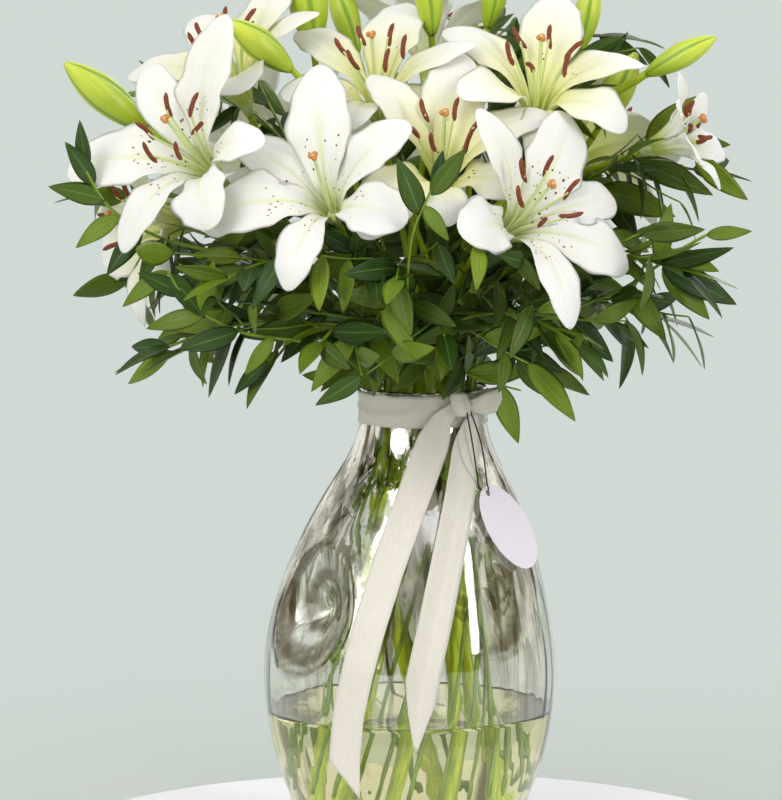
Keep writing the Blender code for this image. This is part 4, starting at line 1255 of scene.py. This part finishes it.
def make_lamp(name, kind, place, size, energy, colour, shaded):
    """A lamp aimed at the bouquet; it leaves the floor alone, so that the ground stays even."""
    data = bpy.data.lights.new(name, kind)
    if kind == "AREA":
        data.shape, data.size, data.size_y = "RECTANGLE", *size
    else:
        data.angle = size
    data.energy, data.color = energy, colour
    lamp = linked(name, data)
    lamp.location = place
    lamp.rotation_euler = (Vector((0, 0, 0.35)) - Vector(place)).to_track_quat("-Z", "Y").to_euler()
    lamp.light_linking.receiver_collection = shaded


def make_sky():
    """Bright above; low down dark and light bars for the glass to mirror, the darker in front."""
    world = bpy.data.worlds.new("sky")
    bpy.context.scene.world = world
    n = Nodes(world)
    x, y, z = n.split(n.place("Generated"))
    turn = n.math("ARCTAN2", x, y)
    bars = n.math("SINE", n.add(n.times(turn, 7.0), n.times(z, 1.3)))
    bars = n.add(bars, n.times(n.math("SINE", n.times(turn, 23.0)), 0.45))
    bars = n.add(bars, n.times(y, 0.6))
    bars = n.add(bars, n.times(n.math("MAXIMUM", y, 0.0), 0.6))
    low = n.mix(n.ramp(bars, -0.1, 0.5), SKY_DARK, SKY_BAR)
    background = n.tree.nodes["Background"]
    n.put(background.inputs["Color"], n.mix(n.ramp(z, 0.25, 0.75), low, SKY_TOP))
    background.inputs["Strength"].default_value = SKY_STRENGTH


LAMPS = (  # name, kind, place, size or angle, energy, colour
    ("daylight", "SUN", (-1.5, -2.4, 2.6), math.radians(30), 0.77, (1.0, 0.985, 0.96)),
    ("window_left", "AREA", (-1.9, -2.3, 1.3), (2.0, 2.2), 33, (1.0, 1.0, 1.0)),
    ("window_right", "AREA", (2.0, -1.5, 1.2), (0.30, 1.7), 26, (1.0, 1.0, 1.0)),
    ("window_back", "AREA", (0.9, 2.1, 1.5), (1.2, 1.2), 14, (0.97, 0.99, 1.0)),
)


def make_stage():
    floor = make_disc("floor", FLOOR_RADIUS, -0.0015, (0.812, 0.882, 0.82), 1.0)
    make_disc("table", TABLE_RADIUS, -0.0002, (0.78, 0.78, 0.785), 0.5)
    make_sky()
    shaded = bpy.data.collections.new("lit_by_lamps")
    shaded.objects.link(floor)
    shaded.collection_objects[0].light_linking.link_state = "EXCLUDE"
    for lamp in LAMPS:
        make_lamp(*lamp, shaded)
    bpy.context.scene.view_settings.view_transform = "Standard"


# ---- vase and water ----
GLASS_SIDES = 180
WATER_OVERLAP = 0.0006  # the water reaches this far into the wall, so that no gap shows


def swirl(azimuth, z):
    """The raised rim round each pinch and the spiral in it."""
    off, spin = min(pinch_places(azimuth, z))
    rise = 0.0016 * math.exp(-(((off - 0.92) / 0.11) ** 2))
    return rise + 0.0011 * math.sin(2 * spin + 9 * off) * math.exp(-(((off - 0.45) / 0.25) ** 2))


def swirl_smoke(azimuth, z):
    """The dark arcs that wind into each pinch."""
    off, spin = min(pinch_places(azimuth, z))
    arcs = eased(2.4 * math.sin(spin + 13 * off) - 0.7)
    arcs += 0.7 * eased(2.4 * math.sin(2 * spin + 19 * off) - 0.9)
    return min(1, arcs) * eased(off / 0.25) * math.exp(-((max(0, off - 0.85) / 0.13) ** 2))


def glass_ring(z, inset, height=None, pull=1.0):
    """A fine ring of the vase, pulled towards its middle for the floor and foot."""
    centre = vase_centre(z)
    ring = []
    for k in range(GLASS_SIDES):
        azimuth = 360 * k / GLASS_SIDES
        p = vase_point(azimuth, z, inset) + heading(azimuth) * swirl(azimuth, z)
        p = Vector((centre.x + (p.x - centre.x) * pull, centre.y + (p.y - centre.y) * pull, p.z))
        if height is not None:
            p.z = height
        ring.append(p)
    return ring


def make_vase_visual():
    lip = VASE_WALL / 2
    heights = [0.0005 + (VASE_HEIGHT - lip - 0.0005) * (k / 110) for k in range(111)]
    foot = ((0.0022, 0.15), (0.0020, 0.6), (0.0006, 0.86), (0.0, 0.93))
    rings = [glass_ring(0, 0, height, pull) for height, pull in foot]
    rings += [glass_ring(z, 0) for z in heights]
    for k in range(1, 6):
        a = math.pi * k / 6
        rim = VASE_HEIGHT - lip + lip * math.sin(a)
        rings.append(glass_ring(VASE_HEIGHT, lip - lip * math.cos(a), rim))
    inner = [z for z in reversed(heights) if z > VASE_FLOOR + 0.004]
    rings += [glass_ring(z, VASE_WALL) for z in inner]
    floor = inner[-1]
    for pull, drop in ((0.985, 0.0022), (0.955, 0.0035), (0.90, 0.004), (0.5, 0.0043), (0.1, 0.0043)):
        rings.append(glass_ring(floor, VASE_WALL, floor - drop, pull))
    smoke = [swirl_smoke(360 * k / GLASS_SIDES, ring[0].z) for ring in rings for k in range(GLASS_SIDES)]
    facts = [(0, share, 0.5, 0, 0, 0) for share in smoke]
    vase = make_piece("glass_vase", skin(rings), facts, glass_material(), "glass", "vase")
    vase.visible_shadow = False


def make_water_visual():
    inset = VASE_WALL - WATER_OVERLAP
    low = VASE_FLOOR + 0.0052
    floor = ((0.0049, 0.1), (0.0046, 0.90), (0.0040, 0.955), (0.0026, 0.985))
    rings = [glass_ring(low, inset, low - drop, pull) for drop, pull in floor]
    rings += [glass_ring(low + (WATER_LEVEL - low) * k / 24, inset) for k in range(25)]
    for pull, drop in ((0.992, 0.0006), (0.98, 0.0010), (0.95, 0.0012), (0.5, 0.0012), (0.1, 0.0012)):
        rings.append(glass_ring(WATER_LEVEL, inset, WATER_LEVEL - drop, pull))
    water = make_piece("vase_water", skin(rings), None, water_material(), "water", "water")
    water.visible_shadow = False


# ---- ribbon and tag ----
CLOTH = 0.0004
BAND_STEPS, BAND_COLUMNS = 180, 9
WRAP_STEPS, WRAP_COLUMNS, WRAP_LENGTH = 37, 9, 0.036
LOOP_STEPS, LOOP_COLUMNS, LOOP_FLAT = 41, 7, (0.016, 0.062)
LOOP_SIZE = (0.0144, 0.0046, 0.0088)  # half width, half depth, half height
TAIL_STEPS, TAIL_COLUMNS, TAIL_LIFT = 81, 9, 0.0006


def ripple(p, scale, size):
    return noise.noise(Vector(p) * scale) * size


def ribbon_piece(name, rows, normals, flat, held, rests_on, finish, node, area=None, loop=False):
    piece = make_piece(name, *slab(rows, normals, CLOTH, loop), finish, "ribbon", node)
    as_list(rests_on)


def grid(steps, columns, place):
    """A sheet's rows and normals; place(k, u) gives a point and its normal, u from -1 to 1 across."""
    rows, normals = [], []
    for k in range(steps):
        found = [place(k, 2 * i / (columns - 1) - 1) for i in range(columns)]
        rows.append([p for p, _ in found])
        normals.append([normal for _, normal in found])
    return rows, normals


def make_band_visual(finish):
    low, high = BAND_HEIGHTS[0], BAND_HEIGHTS[-1]

    def place(k, u):
        azimuth, t = 360 * k / BAND_STEPS, (u + 1) / 2
        out = heading(azimuth)
        z = low + (high - low) * t + ripple(out * (1 + t), 1.6, 0.0016) * (t - 0.3)
        lift = 0.0010 + ripple((out.x * 3, out.y * 3, t * 2.5), 1.0, 0.0009)
        lift += 0.0016 * math.exp(-((t - 0.52 - 0.2 * math.sin(2 * azimuth / 57.3)) / 0.10) ** 2)
        return vase_point(azimuth, z, -lift), out

    girth = 2 * math.pi * through(VASE_PROFILE, KNOT_HEIGHT)
    ribbon_piece("neck_band", *grid(BAND_STEPS, BAND_COLUMNS, place), (RIBBON_WIDTH, girth), "stretched",
                 ["glass_vase"], finish, "ribbon_band", loop=True)


def make_wrap_visual(finish):
    """The ribbon's turn round its own knot."""
    out, right, middle = knot_axes()

    def place(k, u):
        a = 2 * math.pi * k / (WRAP_STEPS - 1)
        r = KNOT_RADIUS * (1 - 0.30 * u * u) + 0.0005 * math.sin(9 * u + 2 * a) + 0.00004 * k
        squat = out * (r * 0.72 * math.cos(a) + 0.002) + right * (r * math.sin(a) - 0.0025 * u)
        return middle + squat + Vector((0, 0, KNOT_RISE * 0.80 * u)), turned(out, right, a)

    ribbon_piece("knot_wrap", *grid(WRAP_STEPS, WRAP_COLUMNS, place), (RIBBON_WIDTH * 0.8, WRAP_LENGTH),
                 "folded", ["neck_band"], finish, "ribbon_knot")


def make_loop_visual(finish):
    """The small loop beside the knot."""
    out, right, middle = knot_axes()
    wide, deep, high = LOOP_SIZE
    start = middle + right * (KNOT_RADIUS + GAP + 0.0145)

    def place(k, u):
        a = math.pi + 2 * math.pi * k / LOOP_STEPS
        pinch = 0.55 + 0.45 * eased((1 + math.cos(a)) / 1.2)
        p = start + right * (wide * math.cos(a)) + out * (deep * math.sin(a))
        normal = (right * (math.cos(a) / wide) + out * (math.sin(a) / deep)).normalized()
        lift = normal * (0.0005 * math.sin(5 * u + 3 * a))
        return p + Vector((0, 0, high * pinch * u + 0.002 * math.cos(a))) + lift, normal

    ribbon_piece("small_loop", *grid(LOOP_STEPS, LOOP_COLUMNS, place), LOOP_FLAT, "folded", ["knot_wrap"],
                 finish, "ribbon_loop", loop=True)


def tail_rows(route, width, ends):
    """A tail's rows; ends gives the share of the length that is left off at each place across."""
    spans = 89
    fine = resampled([on_glass(x, z, TAIL_OFF) for x, z in route], spans + 1)
    ways = tangents(fine)

    def place(k, u):
        at = k / (TAIL_STEPS - 1) * (1 - ends(u)) * spans
        j = min(spans - 1, int(at))
        p = fine[j].lerp(fine[j + 1], at - j)
        normal = squared(p - vase_centre(p.z), ways[j])
        side = ways[j].cross(normal).normalized()
        rise = TAIL_LIFT + 0.0008 * u * u + ripple((at * 0.09, u * 0.6, TAIL_LIFT * 900), 1.0, 0.0011)
        rise += (0.0026 + 0.0014 * abs(u)) * (1 - eased(at / 13))
        return p - side * (width(at / spans) / 2 * u) + normal * rise, normal

    return *grid(TAIL_STEPS, TAIL_COLUMNS, place), length_of(fine)


def make_tails_visual(finish):
    """The two tails: each starts in the knot, narrow, and ends in a slanted or forked cut."""
    for name, node, start, route, low, spread, ends, share in (
        ("long_tail", "ribbon_tail_long", ((0.0345, 0.3385), (0.0295, 0.332)), LONG_TAIL, 0.34, 0.13,
         lambda u: 0.085 * (1 - u) / 2, 0.957),
        ("short_tail", "ribbon_tail_short", ((0.0385, 0.3385), (0.0425, 0.332)), SHORT_TAIL, 0.30, 0.16,
         lambda u: 0.20 * abs(u - 0.15) / 1.15, 0.90),
    ):
        def width(t):
            return RIBBON_WIDTH * (low + (1 - low) * eased(t / spread))

        rows, normals, long = tail_rows((*start, *route), width, ends)
        ribbon_piece(name, rows, normals, (RIBBON_WIDTH, long), "hung", ["glass_vase", "knot_wrap"],
                     finish, node, area=RIBBON_WIDTH * long * share)


def make_string():
    points = resampled(smooth_route(cord_route(), 8), 40)
    curve = bpy.data.curves.new("tag_string", "CURVE")
    curve.dimensions = "3D"
    curve.bevel_depth, curve.bevel_resolution, curve.use_fill_caps = CORD_DIAMETER / 2, 4, True
    line = curve.splines.new("POLY")
    line.points.add(len(points) - 1)
    for slot, p in zip(line.points, points):
        slot.co = (*p, 1)
    curve.materials.append(cotton_material())
    string = linked("tag_string", curve)
    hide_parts("tag_cord")
    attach(string, "root")
    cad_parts["tag"].material_slots[0].material = card_material()
    length = length_of(points)
    tuple(points[0])


# ---- lilies ----
ROWS, COLUMNS = 49, 15
PETAL_SHEET, LEAF_SHEET = 0.0007, 0.00035  # thicknesses
LEAF_ROWS, LEAF_COLUMNS = 13, 7
LEAF_BENDS = 4  # how many bends a leaf tries
BUD_SIDES, BUD_RINGS = 48, 29
CREAM = [f"lily_bloom_{k:02d}" for k in (4, 5, 6, 7, 8, 12)]
NO_ANTHERS = ["lily_bloom_02"]


def tepal_visual(bloom, k, tepal, chance):
    """A tepal with its grooved midrib, cupped base and ruffled edges."""
    full = TEPAL_LENGTH * bloom[2] * tepal[1]
    ruffle = 0.0026 if k % 2 == 0 else 0.0012
    phase, beats = chance.uniform(0, 2 * math.pi), chance.uniform(2.4, 3.8)
    twist, tone = math.radians(chance.uniform(-9, 9)), chance.random()
    rows, normals, facts = [], [], []
    for s, p, side, normal in tepal_line(bloom, tepal, ROWS):
        half = tepal_half(bloom, k, p, tepal_width(s) ** (1 if s < 0.5 else 0.66))
        rise = half * 0.42 * (1 - eased(s / 0.8))
        p = p - normal * (0.007 * max(0, (s - 0.62) / 0.38) ** 2)
        turn = twist * s * s
        across = turned(side, normal, turn)
        lift = normal * math.cos(turn) - side * math.sin(turn)
        swell = math.sin(math.pi * min(1, s * 1.04)) ** 1.2
        row, fact = [], []
        for i in range(COLUMNS):
            u = 2 * i / (COLUMNS - 1) - 1
            wave = math.sin(2 * math.pi * beats * s + phase + (1.9 if u > 0 else 0))
            height = rise * abs(u) ** 1.7 + ruffle * abs(u) ** 3 * wave * swell
            height -= 0.0013 * math.exp(-((u / 0.13) ** 2)) * (1 - s)
            height += 0.0007 * math.exp(-(((abs(u) - 0.26) / 0.11) ** 2)) * (1 - s)
            height -= half * 0.16 * u * u * eased((s - 0.5) / 0.5)
            edge = 1 + 0.035 * abs(u) ** 6 * math.sin(2 * math.pi * beats * 1.7 * s + phase)
            row.append(p + across * (half * u * edge) + lift * height)
            fact.append((u, s, tone, u * half + tone, s * full, 0))
        rows.append(row)
        normals.append(lift)
        facts.append(fact)
    rows[-1] = [rows[-1][COLUMNS // 2]]
    return blade(rows, normals, facts, PETAL_SHEET)


def anther(centre, way, size):
    """A plump pollen sac with a slight bend."""
    aside = way.orthogonal().normalized()
    points, radii = [], []
    for k in range(9):
        t = k / 4 - 1
        points.append(centre + way * (0.0096 * size * t) + aside * (0.0018 * t * t))
        radii.append(0.0019 * max(0.3, (1 - abs(t) ** 5) ** 0.6) * (1 - 0.05 * math.cos(3 * t)))
    return rounded(points, radii, 10)


def make_bloom_visual(name, bloom, tepals, finishes, room):
    throat, size = Vector(bloom[0]), bloom[2]
    axis, up, right = facing_axes(bloom[1])
    chance = random.Random(name)
    petals = Batch()
    for k, tepal in enumerate(tepals):
        shape, facts = tepal_visual(bloom, k, tepal, chance)
        petals.add(shape, facts)
        room.add(shape)
    petals.make(name + "_tepals", finishes["cream" if name in CREAM else "petal"], "petal", [name])
    heart, sacs = Batch(), Batch()
    base, top = throat - axis * 0.008, throat + axis * 0.009
    line = [base.lerp(top, k / 6) for k in range(7)]
    heart.add(*rounded(line, [0.0033, 0.0040, 0.0047, 0.0053, 0.0054, 0.0044, 0.0020], 18))
    for radial, base, mid, tip, along in stamen_lines(bloom) if name not in NO_ANTHERS else ():
        heart.add(*rounded(smooth_route([base, mid, tip, tip + along * 0.55], 5),
                           [0.0010 - 0.00035 * j / 15 for j in range(16)], 8))
        way = along.normalized() + radial * chance.uniform(-0.7, 0.5) + up * chance.uniform(-0.3, 0.3)
        sacs.add(*anther(tip + along, way.normalized(), size))
    base, mid, tip = pistil_line(bloom)
    line = smooth_route([base, mid, tip, tip + axis * 0.003], 6)
    heart.add(*rounded(line, [0.0019 - 0.0005 * math.sin(math.pi * j / 18) for j in range(19)], 12))
    heart.make(name + "_heart", finishes["style"], "stem")
    if sacs.points:
        sacs.make(name + "_anthers", finishes["pollen"], "petal")
    stigma = Batch()
    start = tip + axis * 0.0022
    for k in range(3):
        radial = turned(up, right, math.radians(120 * k + 30))
        line = [start.lerp(start + radial * 0.0040 + axis * 0.0012, j / 5) for j in range(6)]
        stigma.add(*rounded(line, [0.0012, 0.0019, 0.0023, 0.0023, 0.0018, 0.0006], 10))
    stigma.make(name + "_stigma", finishes["stigma"], "petal")


def make_bud_visual(name, bud, finish):
    """A ribbed bud, its three outer tepals folded over the seams."""
    base, tip, width = Vector(bud[0]), Vector(bud[1]), bud[2]
    way = (tip - base).normalized()
    across = way.orthogonal().normalized()
    up = way.cross(across)
    rings, facts = [], []
    for k in range(BUD_RINGS):
        t = k / (BUD_RINGS - 1)
        share = through(BUD_PROFILE, t)
        ring = []
        for i in range(BUD_SIDES):
            a = 2 * math.pi * i / BUD_SIDES
            seam = abs(math.cos(1.5 * a + 0.5 * t)) ** 22
            fold = abs(math.sin(1.5 * a + 0.5 * t)) ** 14
            r = width / 2 * share * (0.985 - 0.10 * seam * min(1, 3 * t) + 0.035 * fold)
            ring.append(base.lerp(tip, t) + turned(across, up, a) * r)
            facts.append((i / BUD_SIDES, t, width * 20, a * width / 2, t * (tip - base).length, seam))
        rings.append(ring)
    make_piece(name + "_shell", skin(rings), facts, finish, "bud", name)


# ---- stems and leaves ----
def make_stem_visual(name, azimuth, carried, finish):
    batch = Batch()
    for k, line in enumerate(stem_lines(azimuth, carried)):
        radii = stem_radii(line, k == 0)
        fine = smooth_route(line, 8)
        spread = []
        for j in range(len(fine)):
            at = j / 8
            i = min(len(radii) - 2, int(at))
            r = radii[i] + (radii[i + 1] - radii[i]) * (at - i)
            joint = math.exp(-(((j % 9) - 4) / 0.8) ** 2) if k == 0 else 0
            spread.append(r * (1.05 + 0.16 * joint))
        batch.add(*rounded(fine, spread, 14))
    batch.make(name + "_stalks", finish, "stem", [name])


def leaf_visual(leaf, chance):
    """A lance-shaped leaf, folded a little along its midrib and bent along its length."""
    base, way, normal, length, width = leaf
    side = way.cross(normal).normalized()
    bend = chance.uniform(0.02, 0.20)
    sway = chance.uniform(-0.10, 0.10)
    fold = chance.uniform(0.10, 0.30)
    tone = chance.random()
    rows, normals, facts = [], [], []
    for k in range(LEAF_ROWS):
        s = k / (LEAF_ROWS - 1)
        half = width / 2 * (math.sin(math.pi * s ** 0.82) ** 0.9 * (1 - 0.22 * s) * 1.16 + 0.05)
        middle = base + way * (length * (s - 0.06 * bend * s * s)) - normal * (length * bend * s * s)
        middle += side * (length * sway * s * s) + normal * (LEAF_THICKNESS * 0.7 * math.sin(math.pi * s))
        row, fact = [], []
        for i in range(LEAF_COLUMNS):
            u = 2 * i / (LEAF_COLUMNS - 1) - 1
            row.append(middle + side * (half * u) + normal * (half * fold * (abs(u) - 0.3)))
            fact.append((u, s, tone, u * half, s * length + tone, 0))
        rows.append(row)
        normals.append(normal)
        facts.append(fact)
    rows[-1] = [rows[-1][LEAF_COLUMNS // 2]]
    return blade(rows, normals, facts, LEAF_SHEET)


def add_leaves(batch, leaves, chance, petals):
    """Each leaf in the first of a few bends that keeps clear of the petals."""
    for leaf in leaves:
        for _ in range(LEAF_BENDS):
            shape, facts = leaf_visual(leaf, chance)
            if petals.free(shape):
                batch.add(shape, facts)
                break


def branch_name(k):
    return f"ruscus_branch_{k + 1:02d}"


def make_branch_visual(k, stalks, leaves, carried, room, petals, finishes):
    """A branch with its extra growth; carried is (stalk, radius, leaves) that it bears as well, or None."""
    name = branch_name(k)
    wood, foliage = Batch(), Batch()
    chance = random.Random(BEND_SEED + k)
    leaves = [rolled(room, name, leaf, chance) or leaf for leaf in map(above_band, leaves) if leaf]
    twigs, more = extra_growth(room, name, stalks, k)
    for line, radius in stalks + twigs:
        fine = smooth_route(line, 5)
        wood.add(*rounded(fine, [radius * (1 - 0.35 * j / len(fine)) for j in range(len(fine))], 8))
    add_leaves(foliage, leaves + more, chance, petals)
    if carried:
        wood.add(*rounded(smooth_route(carried[0], 6), carried[1], 8))
        add_leaves(foliage, carried[2], chance, petals)
    wood.make(name + "_stalks", finishes["twig"], "stem", [name])
    foliage.make(name + "_leaves", finishes["leaf"], "leaf")


def make_finishes():
    """The plants' materials by name."""
    return {
        "petal": petal_material("lily_petal", 0.07, 0.22),
        "cream": petal_material("lily_petal_cream", 0.95, 0.08),
        "style": stem_material("lily_style", (0.55, 0.66, 0.22), (0.72, 0.80, 0.42)),
        "pollen": pollen_material("pollen", (0.11, 0.015, 0.002), (0.28, 0.050, 0.006), 0.55),
        "stigma": pollen_material("stigma", (0.50, 0.17, 0.035), (0.70, 0.30, 0.08), 0.4),
        "stem": stem_material("lily_stem", (0.28, 0.41, 0.003), (0.58, 0.69, 0.012)),
        "twig": stem_material("ruscus_stalk", (0.10, 0.19, 0.005), (0.24, 0.36, 0.015)),
        "leaf": leaf_material(),
        "bud": bud_material(),
    }


def make_vase_and_ribbon():
    make_string()
    make_vase_visual()
    make_water_visual()
    satin = satin_material()
    for make in (make_band_visual, make_wrap_visual, make_loop_visual, make_tails_visual):
        make(satin)


def make_bouquet():
    """The flowers and leaves, fitted one after the other in the order that the CAD model uses."""
    finishes = make_finishes()
    room, petals = Room(), Room()
    room.add(skin([vase_ring(z, -0.002) for z in VASE_RINGS], closed=False))
    right, knot = knot_axes()[1:]
    room.add(tube([knot - right * 0.012, knot + right * 0.040], 0.014, 6))  # the knot and its loop
    for name, (azimuth, carried) in STEMS.items():
        for shape in stem_shapes(azimuth, carried):
            room.add(shape)
        make_stem_visual(name, azimuth, carried, finishes["stem"])
    for name, bud in BUDS.items():
        room.add(bud_shape(bud))
        make_bud_visual(name, bud, finishes["bud"])
    lines = []
    for k, (azimuth, end) in enumerate(BRANCHES):
        lines.append(fitted_branch(room, azimuth, end))
        room.add(tube(lines[k], STALK_RADIUS, 3), branch_name(k))
    for name, tepals in place_blooms(room).items():
        make_bloom_visual(name, BLOOMS[name], tepals, finishes, petals)
    grown = [branch_parts(room, branch_name(k), line, k) for k, line in enumerate(lines)]
    room.taken += petals.taken

    sprig, sprig_leaves = front_sprig()
    for leaf in sprig_leaves:
        room.add(leaf_shape(*leaf))
    sprays = {k: fitted_spray(room, *SPRAYS[k], k) for k in SPRAYS}
    carried = {k: (line, TWIG_RADIUS, leaves) for k, (line, leaves) in sprays.items()}
    carried[SPRIG_BRANCH] = (sprig, SPRIG_RADIUS, sprig_leaves + collar_leaves(room))
    for k, (stalks, leaves) in enumerate(grown):
        make_branch_visual(k, stalks, leaves, carried.get(k), room, petals, finishes)


def main():
    make_camera()
    make_stage()
    make_vase_and_ribbon()
    make_bouquet()


main()
